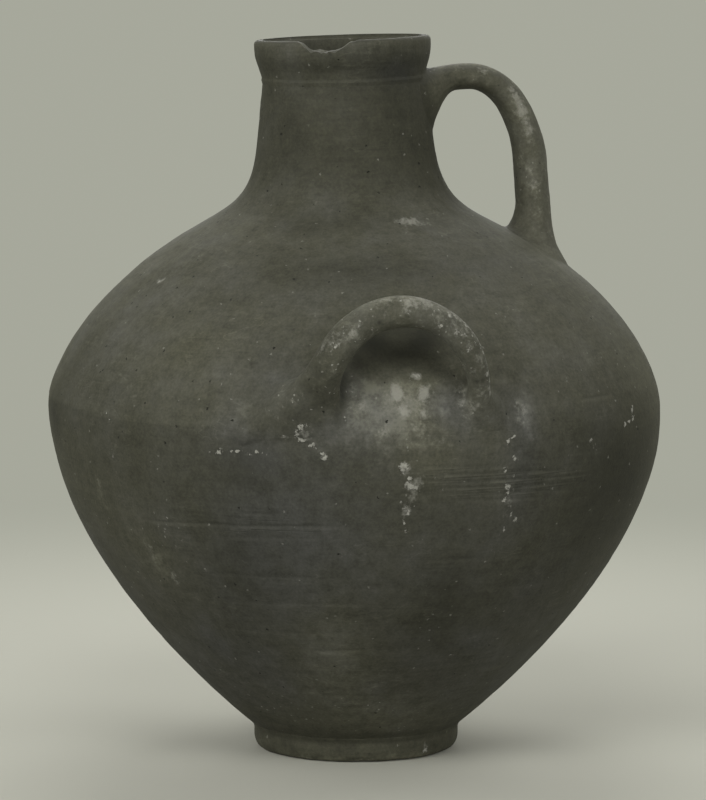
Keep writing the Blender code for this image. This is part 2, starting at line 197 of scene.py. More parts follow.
def arc(start, leave, end, arrive, pulls, count=160):
    # Bezier arc: its inner points lie along the leaving and arriving ways, at shares of the chord
    start, leave, end, arrive = (np.array(part, float) for part in (start, leave, end, arrive))
    chord = np.linalg.norm(end - start)
    first = start + leave / np.linalg.norm(leave) * chord * pulls[0]
    last = end - arrive / np.linalg.norm(arrive) * chord * pulls[1]
    t = np.linspace(0, 1, count)[:, None]
    return (1 - t) ** 3 * start + 3 * t * (1 - t) ** 2 * first + 3 * t * t * (1 - t) * last + t ** 3 * end


def wallLine(s):
    up, flare, slope = (0, 1), math.radians(s["baseFlare"]), math.radians(s["shoulderSlope"])
    straight = np.subtract(s["waist"], s["neckRoot"])
    leanOut = np.subtract(s["swell"], s["collarFoot"])
    slopeIn = (-math.cos(slope), math.sin(slope))
    arcs = [
        arc(s["base"], (math.cos(flare), math.sin(flare)), s["belly"], up, s["lowPulls"]),
        arc(s["belly"], up, s["shoulder"], slopeIn, s["highPulls"]),
        arc(s["shoulder"], slopeIn, s["neckRoot"], straight, s["rootPulls"]),
        arc(s["neckRoot"], straight, s["waist"], straight, (0.33, 0.33)),
        [s["ridge"]],
        arc(s["collarFoot"], leanOut, s["swell"], up, s["collarPulls"]),
    ]
    return np.vstack([arcs[0], *[part[1:] if len(part) > 1 else part for part in arcs[1:]]])


line = wallLine(wall)
lineSteps = np.gradient(line, axis=0)
lineSteps /= np.linalg.norm(lineSteps, axis=1)[:, None]
travelled = np.append(0, np.cumsum(np.linalg.norm(np.diff(line, axis=0), axis=1)))


def wallRadius(height):
    return np.interp(height, line[:, 1], line[:, 0])


def wallNormal(height):
    # outward way in the turning plane: the line's direction, turned a quarter
    rise = np.interp(height, line[:, 1], lineSteps[:, 1])
    run = np.interp(height, line[:, 1], -lineSteps[:, 0])
    size = np.hypot(rise, run)
    return rise / size, run / size


def wallRows(low, high, count):
    # heights that are evenly spaced along the wall
    ends = np.interp((low, high), line[:, 1], travelled)
    return np.interp(np.linspace(*ends, count), travelled, line[:, 1])


def leanAt(x, y, z):
    # how far the clay has sunk aside, and how far it is lifted, while it was wet
    tilt, nod = math.tan(math.radians(lean["tilt"])), math.tan(math.radians(lean["nod"]))
    aside = lean["belly"] * ease(z, lean["bellyFrom"], wall["seam"])
    aside = aside + lean["neck"] * ease(z, lean["neckFrom"], wall["neckJoint"])
    aside = aside + tilt * np.maximum(z - wall["neckJoint"], 0)
    lift = tilt * x * ease(z, wall["neckJoint"], wall["rim"])
    lift = lift - nod * y * ease(z, wall["collarFoot"][1], wall["rim"])
    return aside, lift


def settled(x, y, z):
    aside, lift = leanAt(x, y, z)
    return np.stack(np.broadcast_arrays(x - aside, y, z + lift), -1)


# What the turning and the years left on the wall. Azimuths in degrees, other numbers in millimetres.
# Grooves: from azimuth and height, to azimuth and height, strength. The material cuts them, from two
# fields: how far above the nearest groove a place lies, and how strong that groove is there.
grooves = [
    (-90.5, 184.2, -68, 181.8, 0.5), (-90, 180.2, -52, 176.6, 0.85), (-91, 176.4, -48, 172.4, 1),
    (-88, 172.6, -50, 168.8, 0.95), (-86, 168.9, -54, 165.6, 0.8), (-83, 165.2, -60, 163, 0.45),
    (-123, 159.8, -112, 159.4, 0.6), (-122, 157.6, -113, 157.3, 0.5), (-149, 147.4, -97, 152, 0.85),
    (-126, 143, -104, 144.6, 0.35), (-112, 75.5, -96, 76, 0.6), (-54.3, 214.2, -42.2, 214, 0.8),
    (-136, 120, -104, 121.5, 0.3), (-92, 131, -58, 129.5, 0.3), (-132, 104, -92, 105.5, 0.3),
    (-131, 232, -112, 233, 0.25), (-86, 290, -58, 289, 0.25), (-108, 60, -70, 60.6, 0.3),
    (-122, 352, -84, 353.2, 0.3), (-118, 361, -80, 361.8, 0.3), (-115, 368.5, -78, 369, 0.3),
    (-140, 86, -98, 87, 0.3), (-80, 112, -50, 111, 0.3), (-70, 46, -120, 45.5, 0.3),
    (50, 180, 96, 176, 0.6), (52, 176, 90, 172.2, 0.5), (100, 130, 150, 133, 0.5),
    (130, 214, 160, 214.6, 0.4), (60, 90, 110, 91, 0.4), (60, 352, 110, 353, 0.3),
]
# Hollows and swellings: azimuth, height, half width, half height, how far out
swellings = [
    (-70.4, 213, 5, 8, -0.9), (-117, 228, 26, 11, 0.5), (-111, 214, 20, 9, 0.5), (-92, 238, 22, 9, -0.6),
    (-125, 240, 18, 20, -0.3), (-64, 228, 12, 18, -0.4), (-123.2, 173.4, 6, 4.5, -0.35),
    (-35.7, 198.4, 3, 1.6, -0.5), (-87.9, 91.4, 1.4, 1.2, -0.8), (-66.3, 10.7, 2.4, 2, -0.5),
    (-97.3, 1.5, 5, 2.2, -0.6), (-123, 1.2, 4, 2, -0.5), (20, 240, 30, 22, -0.4),
    (110, 120, 34, 24, -0.4), (-160, 96, 30, 22, -0.3),
]


def turnTo(angle, degrees):
    # the turn from a given azimuth, between minus and plus half a turn
    return (angle - math.radians(degrees) + math.pi) % math.tau - math.pi


def blob(angle, height, azimuth, middle, halfWidth, halfHeight):
    # a soft round mark on the wall: falls off as a bell with the distance along and up the wall
    across = turnTo(angle, azimuth) * wallRadius(height) / (halfWidth / 1000)
    rise = np.maximum(wallNormal(height)[0], 0.3)
    upward = (height - middle / 1000) / rise / (halfHeight / 1000)
    return np.exp(-across ** 2 - upward ** 2)


# Unevenness of the turned wall, in metres: spacing, seed, height, and how much it changes round the jug
unevenness = [
    (0.0052, 3, 0.00010, 0.35), (0.0026, 4, 0.00005, 0.2), (0.085, 5, 0.00045, 1),
    (0.034, 6, 0.00018, 1), (0.0115, 7, 0.00007, 1), (0.0042, 8, 0.00004, 1),
]
# The seam between the two bowls: a wandering ledge and a change of tone, both lost at one azimuth
seamLook = {
    "spacing": 0.030, "seed": 9, "wander": 0.0016, "ledge": 0.00028, "ledgeAbove": 0.0006,
    "ledgeEdge": 0.0007, "ledgeEnd": (0.002, 0.016), "lostAt": -163, "lost": (0.55, 0.95),
    "sharp": 0.0012, "blur": 0.022, "blurred": (0.45, 1.2),
}


def seamHeight(angle, height):
    s = seamLook
    return wall["seam"] + grain(roundPoint(angle, height), s["spacing"], s["seed"]) * s["wander"]


def relief(angle, height):
    # how far the wall stands out from its turned form, in metres
    total = -0.0003
    for spacing, seed, out, around in unevenness:
        total = total + grain(roundPoint(angle, height, (around, around, 1)), spacing, seed) * out
    for azimuth, middle, halfWidth, halfHeight, out in swellings:
        total = total + blob(angle, height, azimuth, middle, halfWidth, halfHeight) * out / 1000
    s = seamLook
    seam = seamHeight(angle, height) + s["ledgeAbove"]
    start, end = s["ledgeEnd"]
    ledge = ease(height, seam - s["ledgeEdge"], seam + s["ledgeEdge"])
    ledge = ledge * (1 - ease(height, seam + start, seam + end))
    kept = 1 - ease(np.abs(turnTo(angle, s["lostAt"])), *s["lost"])
    return total + ledge * kept * s["ledge"]


def grooveFields(angle, height):
    # the gap to the nearest groove in millimetres, and that groove's strength, faded at both ends
    gap, strength = np.full(np.broadcast(angle, height).shape, 6.0), 0
    for fromTurn, fromHeight, toTurn, toHeight, depth in grooves:
        share = turnTo(angle, fromTurn) / math.radians(toTurn - fromTurn)
        above = height * 1000 - (fromHeight + (toHeight - fromHeight) * np.clip(share, 0, 1))
        present = ease(share, 0, 0.22) * (1 - ease(share, 0.75, 1)) * depth
        nearer = (np.abs(above) < np.abs(gap)) & (present > 0)
        gap, strength = np.where(nearer, above, gap), np.where(nearer, present, strength)
    return {"grooveGap": gap, "groove": strength}


# How light the clay is, as the share of light that it gives back
tones = {"upper": 0.0715, "lower": 0.0525, "neck": 0.042, "rim": 0.0515, "foot": 0.0535}
# Lighter and darker places, stains and also the painted shade and light marked below: azimuth, height, half
# width, half height, share of change
stainsAndPaintedShading = [
    (-174, 198, 22, 22, -0.42), (-146, 212, 50, 13, -0.18), (-147, 128, 18, 24, 0.38),
    # painted shade: (-31, 168) darkens the body's lower right side, which is turned away from the light
    (-31, 168, 22, 38, -0.34), (-124, 132, 20, 40, -0.22), (-119, 184, 16, 14, -0.24),
    (-80, 104, 17, 34, -0.32), (-105, 70, 20, 40, 0.56), (-94, 34, 40, 20, 0.6),
    # painted shade: (-43, 162) darkens the body's lower right side, which is turned away from the light
    (-43, 162, 40, 56, -0.52), (-52, 199, 22, 12, -0.12), (-72, 178, 9, 22, 0.36),
    # painted shadow: (-96, 248) at the end of this line darkens the wall under the front side handle's loop,
    # where its shadow falls
    (-93, 203, 30, 10, 0.3), (-85, 184, 16, 14, 0.28), (-96, 248, 14, 11, -0.86),
    # painted shadow: (-85, 249) at the start of this line darkens the wall under the front side handle's loop
    (-85, 249, 13, 11, -0.74), (-90, 219, 24, 13, 0.3), (-174, 284, 26, 26, 0.22),
    # painted light: (-20, 284) on this line and (-174, 284) at the end of the line above lighten the shoulder
    # near its right and left edges, where light from above and behind falls
    (-150, 304, 18, 9, 0.14), (-20, 284, 34, 22, 0.34), (-98, 282, 60, 15, -0.18),
    (-106, 306, 50, 12, -0.22), (-130, 270, 22, 14, -0.12), (-71, 305, 12, 4, 0.2),
    (-118, 300, 14, 10, -0.1), (-60, 240, 16, 20, 0.06), (-96, 391, 64, 5, -0.32),
    # painted shade: (-96, 391) at the end of the line above darkens a band round the collar's inward-sloping
    # foot; (-56, 385) and (-22, 350) on this line, and (-56, 352) on the next, darken the collar's and neck's
    # right side, toward the pouring handle
    (-56, 385, 19, 9, -0.36), (-140, 398, 16, 8, 0.14), (-22, 350, 22, 40, -0.12),
    (-56, 352, 18, 36, -0.12), (-120, 360, 10, 20, 0.1), (-138, 344, 12, 26, -0.1),
    # painted shade: (-174, 80) and (-16, 96) darken the lower body near its left and right edges, where less
    # light reaches
    (-174, 80, 24, 60, -0.36), (-16, 96, 28, 76, -0.48), (-60, 62, 18, 20, 0.1), (-92, 213, 30, 17, 0.3),
    # painted shadow: (-92, 256) and (-90, 243.5) darken the wall under the front side handle's loop, where
    # its shadow falls
    (-98.2, 216, 7, 12, 0.3), (-92, 256, 22, 6, -0.48), (-90, 243.5, 15, 6.5, -0.55),
    # painted shadow: (-98.4, 238.5) and (-99.4, 239) lay a dark strip on the wall along the inner side of the
    # front side handle's left leg
    (-98.4, 238.5, 4, 6.5, -0.4), (-99.4, 239, 4.5, 8, -0.42), (-92, 228, 24, 6, 0.22),
    (-108, 60, 34, 46, 0.1), (-170, 226, 34, 26, -0.14), (-92, 284, 70, 16, -0.22),
    # painted shadow: the three marks on this line carry that dark strip down along the left leg's inner side
    (-101.3, 231, 2.6, 8, -0.45), (-101.9, 222, 2.2, 8, -0.4), (-102.4, 214, 2, 6, -0.3),
    (-73.5, 214, 4, 6, -0.18), (-76.5, 208.5, 5, 5, -0.18), (-88, 186, 26, 10, 0.16),
    (-82, 24, 40, 14, 0.16), (-67.4, 209, 4.5, 13, 0.34), (-64.2, 205, 3, 10, 0.24),
    # painted shade: (-106, 12.4) and (-100, 17) darken the foot's top and the body's underside just above it,
    # where the body's overhang shades them
    (-50, 120, 40, 60, -0.08), (-106, 12.4, 66, 2.6, -0.3), (-100, 17, 70, 2.8, -0.22),
    (-84, 2, 56, 3.4, 0.3), (-112, 4, 50, 3.6, 0.16), (-60, 312, 16, 8, 0.1), (64, 150, 40, 34, -0.22),
    (112, 216, 50, 20, -0.2), (140, 130, 36, 30, 0.2), (84, 262, 40, 22, 0.14), (94, 70, 34, 26, 0.22),
    (20, 230, 30, 20, -0.14), (100, 350, 24, 30, -0.12), (50, 96, 26, 24, -0.16),
]


# Where one piece's tone gives way to the next one's: from, to, and between which heights
toneSteps = [("upper", "neck", 0.298, 0.342), ("neck", "rim", 0.372, 0.386),
             ("foot", "lower", 0.0135, 0.0150)]


def toneAt(angle, height):
    # the clay gets darker below the seam, and a little on the neck, rim and foot
    s = seamLook
    edge = seamHeight(angle, height)
    softness = s["sharp"] + s["blur"] * ease(turnTo(angle, s["lostAt"]), *s["blurred"])
    above = ease(height, edge - softness, edge + softness * 0.6)
    tone = tones["foot"] + (tones["upper"] - tones["lower"]) * above
    for before, after, low, high in toneSteps:
        tone = tone + (tones[after] - tones[before]) * ease(height, low, high)
    # stains, and the painted shade and light that the list marks
    for azimuth, middle, halfWidth, halfHeight, change in stainsAndPaintedShading:
        tone = tone * (1 + change * blob(angle, height, azimuth, middle, halfWidth, halfHeight))
    return tone


# Colder and warmer places: azimuth, height, half width, half height, how cold
coolMarks = [
    (-112, 152, 42, 62, 0.85), (-98, 210, 28, 22, 0.65), (-68, 188, 15, 40, 0.85),
    (-140, 68, 30, 26, 0.55), (-165, 40, 26, 26, 0.45), (-30, 165, 42, 52, -0.9), (-176, 182, 30, 34, -1),
    (-104, 352, 90, 26, -0.4), (-50, 350, 22, 30, -0.55), (-60, 386, 18, 7, 1.1), (-82, 214, 16, 14, 0.8),
    (-118, 240, 22, 20, 0.35), (-112, 272, 26, 16, 0.3), (-60, 108, 20, 18, 0.35),
    (-20, 215, 30, 26, -0.5), (-160, 150, 30, 40, -0.4), (-66, 70, 20, 20, 0.3), (92, 140, 50, 46, 0.7),
    (152, 226, 42, 30, -0.5), (38, 96, 34, 28, -0.5), (60, 250, 40, 30, 0.4), (100, 60, 40, 20, 0.4),
    # painted shade: (-91, 251) gives the painted shadow under the front side handle's loop a warmer colour
    (-91, 251, 24, 12, -1.3), (-136, 240, 30, 26, -0.3), (-128, 100, 16, 30, 0.3),
    (-150, 300, 40, 30, -0.2),
]


# Coldness of the plain clay, and how much warmer it gets near the foot
coldness = {"plain": -0.36, "foot": -0.7, "footTop": (0.018, 0.040)}


def coolAt(angle, height):
    cool = coldness["foot"] * (1 - ease(height, *coldness["footTop"])) + coldness["plain"]
    for azimuth, middle, halfWidth, halfHeight, change in coolMarks:
        cool = cool + change * blob(angle, height, azimuth, middle, halfWidth, halfHeight)
    return cool


# Crusts of lime: azimuth, height, half width, half height, strength
limeMarks = [
    (-108, 208.6, 1.4, 1.8, 1.7), (-108.9, 205.9, 1.5, 1.8, 1.8), (-109.4, 203.1, 1.4, 1.9, 1.7),
    (-109, 199.6, 1.1, 1.8, 1.4), (-108.3, 197.5, 1.2, 1.2, 1.4), (-107, 195.4, 2, 0.9, 1.4),
    (-105.9, 194.2, 1.6, 0.8, 1.4), (-105.2, 190.6, 2.2, 0.9, 1.5), (-105.3, 187.6, 1.8, 1.2, 1.5),
    (-104.5, 189, 0.9, 1.8, 1.3), (-124.3, 190.2, 2.2, 1.5, 1.7), (-121.8, 190.9, 1.5, 0.9, 1.6),
    (-120.8, 190.8, 1.6, 1, 1.7), (-119.8, 191, 1.5, 0.9, 1.6), (-118.2, 191.1, 1.4, 0.8, 1.5),
    (-116.9, 191.3, 1.3, 0.8, 1.4), (-115.6, 191.2, 1.1, 0.7, 1.2), (-90.9, 184.4, 2.2, 1.6, 1.9),
    (-91.2, 182, 1.8, 1.5, 1.6), (-89.6, 178.2, 1.6, 1, 1.4), (-90, 174.4, 1.9, 1.6, 1.6),
    (-89.3, 172.4, 2.6, 1.2, 1.7), (-88, 171, 1.7, 0.8, 1.4), (-91.1, 164.8, 1.2, 1.6, 1.1),
    (-90.6, 161.4, 1.2, 2.2, 1.1), (-90, 158.6, 1.6, 2, 1.2), (-89, 161.8, 1.1, 2.4, 1),
    (-90.5, 153.6, 1, 2.4, 0.9), (-90.2, 148, 0.9, 2.6, 0.8), (-71.3, 195, 0.9, 1.2, 1.5),
    (-70, 196.9, 1.8, 0.5, 1.2), (-71, 171, 1.5, 2.4, 1.4), (-70.8, 167, 1.6, 2.8, 1.6),
    (-71.2, 163.6, 1.2, 2.2, 1.4), (-69.9, 159.4, 1, 1.3, 1.3), (-69, 155.4, 1, 1.8, 1.2),
    (-68.1, 150.9, 1.2, 2, 1.3), (-69.6, 176.4, 1, 2.2, 1.1), (-71.6, 179.8, 0.9, 1.6, 0.9),
    (-70.2, 146, 0.8, 1.6, 0.9), (-69.8, 186, 0.8, 2.4, 0.8), (-100.2, 215.5, 1.3, 1.6, 0.7),
    (-101.2, 208.8, 1, 2.2, 0.7), (-99, 221.6, 1.2, 1.4, 0.6), (-88.8, 229.6, 1.4, 1, 1),
    (-87.4, 231.6, 1.6, 0.7, 1.1), (-91.6, 219, 2.2, 0.7, 0.8), (-158.8, 273.5, 2, 1.5, 1.2),
    (-82.4, 94.6, 0.9, 0.8, 1.2), (-84.2, 92, 0.7, 0.6, 0.9), (-37, 202, 1.4, 2.8, 1.8),
    (-37.2, 198.6, 1.3, 1.8, 1.8), (-38.6, 196.8, 1.8, 0.9, 1.8), (-40.4, 196.2, 1.5, 0.8, 1.7),
    (-51.6, 190.4, 1.2, 0.8, 1.1), (-50.6, 188.4, 0.8, 0.8, 1), (-151, 204, 1.8, 1, 0.9),
    (-149.6, 202.8, 1, 0.8, 0.9), (-153.2, 205.6, 1, 0.7, 0.8), (-126, 189.4, 0.8, 0.6, 0.9),
    (-72.7, 71.5, 1.4, 1.6, 0.7), (-56.8, 4.8, 1.4, 3.6, 1), (-112.5, 200.6, 3, 0.7, 0.7),
    (-75.2, 226.4, 0.8, 1.8, 1.3), (-77.6, 217.6, 0.9, 1.8, 0.9), (-80.6, 212.8, 1.6, 0.8, 0.8),
    (60, 150, 2.4, 3.6, 1.2), (64, 143, 1.4, 1.4, 1.1), (130, 236, 2, 1.6, 1.1), (141, 228, 1.2, 1.2, 1),
    (96, 203, 2.6, 1.6, 1.2), (78, 207, 1.6, 3, 1.1), (14, 104, 1.6, 1.6, 1.1), (-12, 182, 1.2, 2.2, 1),
    (175, 90, 1.6, 1.2, 1),
]
# Rubbed, dusty places: azimuth, height, half width, half height, strength
dustMarks = [
    (-99.2, 215, 7, 12, 0.6), (-96.5, 224, 7, 6, 0.55), (-84, 212, 8, 12, 0.5), (-157, 158, 4, 16, 0.7),
    (-144.6, 120, 8, 14, 0.65), (-66.5, 208, 5, 13, 0.6), (-128, 214, 7, 6, 0.35), (-134, 98, 6, 9, 0.4),
    (-90.5, 219, 19, 14, 0.6), (-90, 203, 30, 14, 0.5), (-119.5, 212, 9, 8, 0.45),
    (-66.9, 210.2, 4, 10, 0.5), (-93, 188, 14, 9, 0.35), (-58.2, 116, 2.6, 10, 0.35),
    (-147, 140, 6, 12, 0.25), (-69, 172, 5, 22, 0.35), (-106, 196, 10, 10, 0.3),
    (-77.5, 216, 9, 13, 0.45), (-89, 160, 8, 14, 0.25), (-100, 1, 90, 4.5, 0.7), (-156, 286, 14, 10, 0.3),
]
# Soft chalky patches, half see-through: azimuth, height, half width, half height, strength
chalkMarks = [
    (-91.5, 223, 4.2, 4.8, 1.25), (-86.4, 222.4, 3.6, 5.2, 1.15), (-90.6, 213.4, 3.8, 4.6, 1),
    (-86.9, 211.6, 3.4, 2.8, 0.9), (-87.4, 231.3, 3.8, 1.6, 1), (-100, 227, 2.2, 5, 0.5),
    (-98, 216, 3, 5, 0.6), (-91, 218, 19, 12, 0.42), (-94.6, 205, 5, 5, 0.5),
    (-73.6, 306.8, 7, 2.8, 0.84), (-70, 305.6, 8, 3.8, 0.9), (-66.4, 304.4, 6, 2.8, 0.8),
    (-158.8, 273.5, 3.6, 2.4, 1.1), (-67, 211, 3.4, 9, 0.55), (-89.4, 170, 3.4, 12, 0.6),
    (-88, 176, 4, 4, 0.7), (-108, 202, 4, 5, 0.7), (-70.4, 160, 2.6, 12, 0.5),
    (-156.6, 162, 2.6, 10, 0.42), (-146, 128, 4, 9, 0.44), (-142, 115, 4, 8, 0.44),
    (-112, 200.4, 6, 1.6, 0.6), (-79.5, 219, 6, 14, 0.45), (-84, 197, 5, 3, 0.4),
    (-108.6, 203, 3, 6, 0.6), (-105, 189.5, 3.4, 3.4, 0.7), (-119, 191, 6, 2, 0.55),
    (-90.6, 183.2, 3.6, 4, 0.8), (-89.2, 173.4, 4.6, 3.6, 0.8), (-90.3, 160, 3.8, 6, 0.75),
    (-70.8, 166.5, 2.6, 7, 0.75), (-68.4, 210, 3.2, 12, 0.5), (-151, 204, 6, 1.6, 0.5),
    (-88, 204, 10, 9, 0.4), (-104, 218, 4, 6, 0.4), (-57, 7, 1.6, 5, 0.8), (-95.5, 1.5, 12, 1.5, 0.6),
    (-130, 1.6, 14, 1.4, 0.5), (62, 147, 7, 9, 0.6), (98, 204, 9, 4, 0.6), (134, 232, 6, 6, 0.5),
]
# Places crowded with small pale specks: azimuth, height, half width, half height, strength
speckMarks = [
    (-79, 220, 8, 16, 0.5), (-119.5, 212, 11, 9, 0.5), (-101, 228, 4, 12, 0.45), (-96, 196, 40, 16, 0.2),
    (-70, 180, 8, 40, 0.32), (-90, 160, 10, 22, 0.34), (-70.4, 168, 4, 12, 0.55), (-112, 194, 20, 6, 0.3),
    (-98, 34, 90, 26, 0.48), (-140, 150, 30, 40, 0.3), (70, 170, 50, 40, 0.2), (-60, 300, 30, 14, 0.16),
]


# Ragged outlines of the marks: spacing and reach in metres
raggedness = [(0.0036, 0.0012), (0.0017, 0.0006)]


def warped(angle, height):
    # the same place, moved about by a millimetre or so, so that a mark gets a ragged outline
    slow = roundPoint(angle, height)
    sideways, upward = (sum(grain(slow, spacing, seed + order) * reach
                            for order, (spacing, reach) in enumerate(raggedness)) for seed in (41, 43))
    return angle + sideways / wallRadius(height), height + upward


def painted(angle, height, share):
    # the strongest mark of each kind at each place
    place = warped(angle, height)
    kinds = {"lime": limeMarks, "dust": dustMarks, "chalk": chalkMarks, "specks": speckMarks}
    return {label: np.max([blob(*place, *mark[:4]) * mark[4] for mark in marks], axis=0) * share
            for label, marks in kinds.items()}


# Meshes
def gridFaces(rows, columns, closed):
    # quads between neighbouring rows and columns of a grid whose last column joins its first
    row = np.arange(rows if closed else rows - 1)[:, None]
    column = np.arange(columns)[None]
    above, after = (row + 1) % rows, (column + 1) % columns
    quads = np.stack((row * columns + column, row * columns + after,
                      above * columns + after, above * columns + column), -1)
    return quads.reshape(-1, 4).tolist()


def fanFaces(pole, first, columns, upward):
    # triangles from a pole to one row of the grid
    near = first + np.arange(columns)
    far = first + (np.arange(columns) + 1) % columns
    order = (near, far) if upward else (far, near)
    return np.stack((*order, np.full(columns, pole)), -1).tolist()


meshLook = {"hair": 0.00003, "sharpFrom": 50}


def makePiece(name, points, faces, fields):
    # the piece stays inside the solids' box by a hair
    low, high = np.array(cadBox[0]) + meshLook["hair"], np.array(cadBox[1]) - meshLook["hair"]
    low[2] = cadBox[0][2]
    points = np.clip(points, low, high)
    mesh = bpy.data.meshes.new(name)
    mesh.from_pydata(points.tolist(), [], faces)
    mesh.shade_smooth()
    mesh.set_sharp_from_angle(angle=math.radians(meshLook["sharpFrom"]))
    for label, values in fields.items():
        layer = mesh.attributes.new(label, "FLOAT", "POINT")
        layer.data.foreach_set("value", np.ascontiguousarray(values, np.float32).ravel())
    mesh.materials.append(clayMaterial(name + "_surface", clayLook))
    piece = bpy.data.objects.new(name + "_clay", mesh)
    bpy.context.scene.collection.objects.link(piece)
    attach(piece, "root")
    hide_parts(name)
    print(name, len(points), "points")
    return piece


# Clay: a fired surface with soft mottling, wheel streaks, fine grain, pinholes and lime
clayLook = {
    "darkest": 0.006, "lightest": 0.160, "darkColour": (0.0060, 0.0063, 0.0021, 1),
    "lightColour": (0.160, 0.157, 0.122, 1), "limeColour": (0.40, 0.395, 0.335, 1),
    "warmTint": (1.0, 1.0, 0.85, 1), "coolTint": (0.98, 1.0, 1.15, 1),
    "rubbed": 0.45, "chalked": 0.46, "limed": 0.65, "specked": 0.55, "loneSpecks": 0.30, "pitted": 0.90,
    "roughness": 0.80, "gloss": 0.35, "bump": 0.8, "ruffle": 0.0022,
    "sandRelief": 0.00016, "streakRelief": 0.00008, "limeRelief": 0.0005, "pitRelief": 0.0006,
    # groove colour: painted shade in the groove and a painted highlight along its lower edge
    "grooveWidth": 0.95, "groovePaintedLight": 0.26, "grooveRelief": 0.00030,
    "ridge": 1.4, "ridgeBelow": 1.6, "cut": 0.7,
}
# Noises of the clay: scale, detail, roughness and strength
mottling = {"cloud": (11.0, 3.0, 0.55, 0.20), "mottle": (42.0, 4.0, 0.6, 0.38),
            "spots": (170.0, 3.0, 0.6, 0.46), "sand": (620.0, 3.0, 0.65, 0.50)}
# Wheel marks, drawn out round the jug: stretch, roughness and strength
wheeling = {"streaks": ((20.0, 20.0, 210.0), 0.6, 0.22), "fineStreaks": ((46.0, 46.0, 700.0), 0.55, 0.26),
            "scratches": ((30.0, 30.0, 84.0), 0.5, 0.30)}
# Dots: cells per metre, size, softness and share of the cells
dotting = {"specks": (330.0, 0.17, 0.06, 0.40), "loneSpecks": (190.0, 0.11, 0.05, 0.20),
           "pits": (95.0, 0.060, 0.02, 0.85)}
# Between which values a mark or a kind of wear sets in
onset = {"worn": (-0.06, 0.10), "scratch": (0.002, 0.010), "scratched": (0.05, 0.12), "dust": (0.18, 0.75),
         "chalk": (0.28, 1.00), "lime": (0.52, 0.96), "limeReach": (0.12, 0.35), "specks": (0.22, 0.60)}


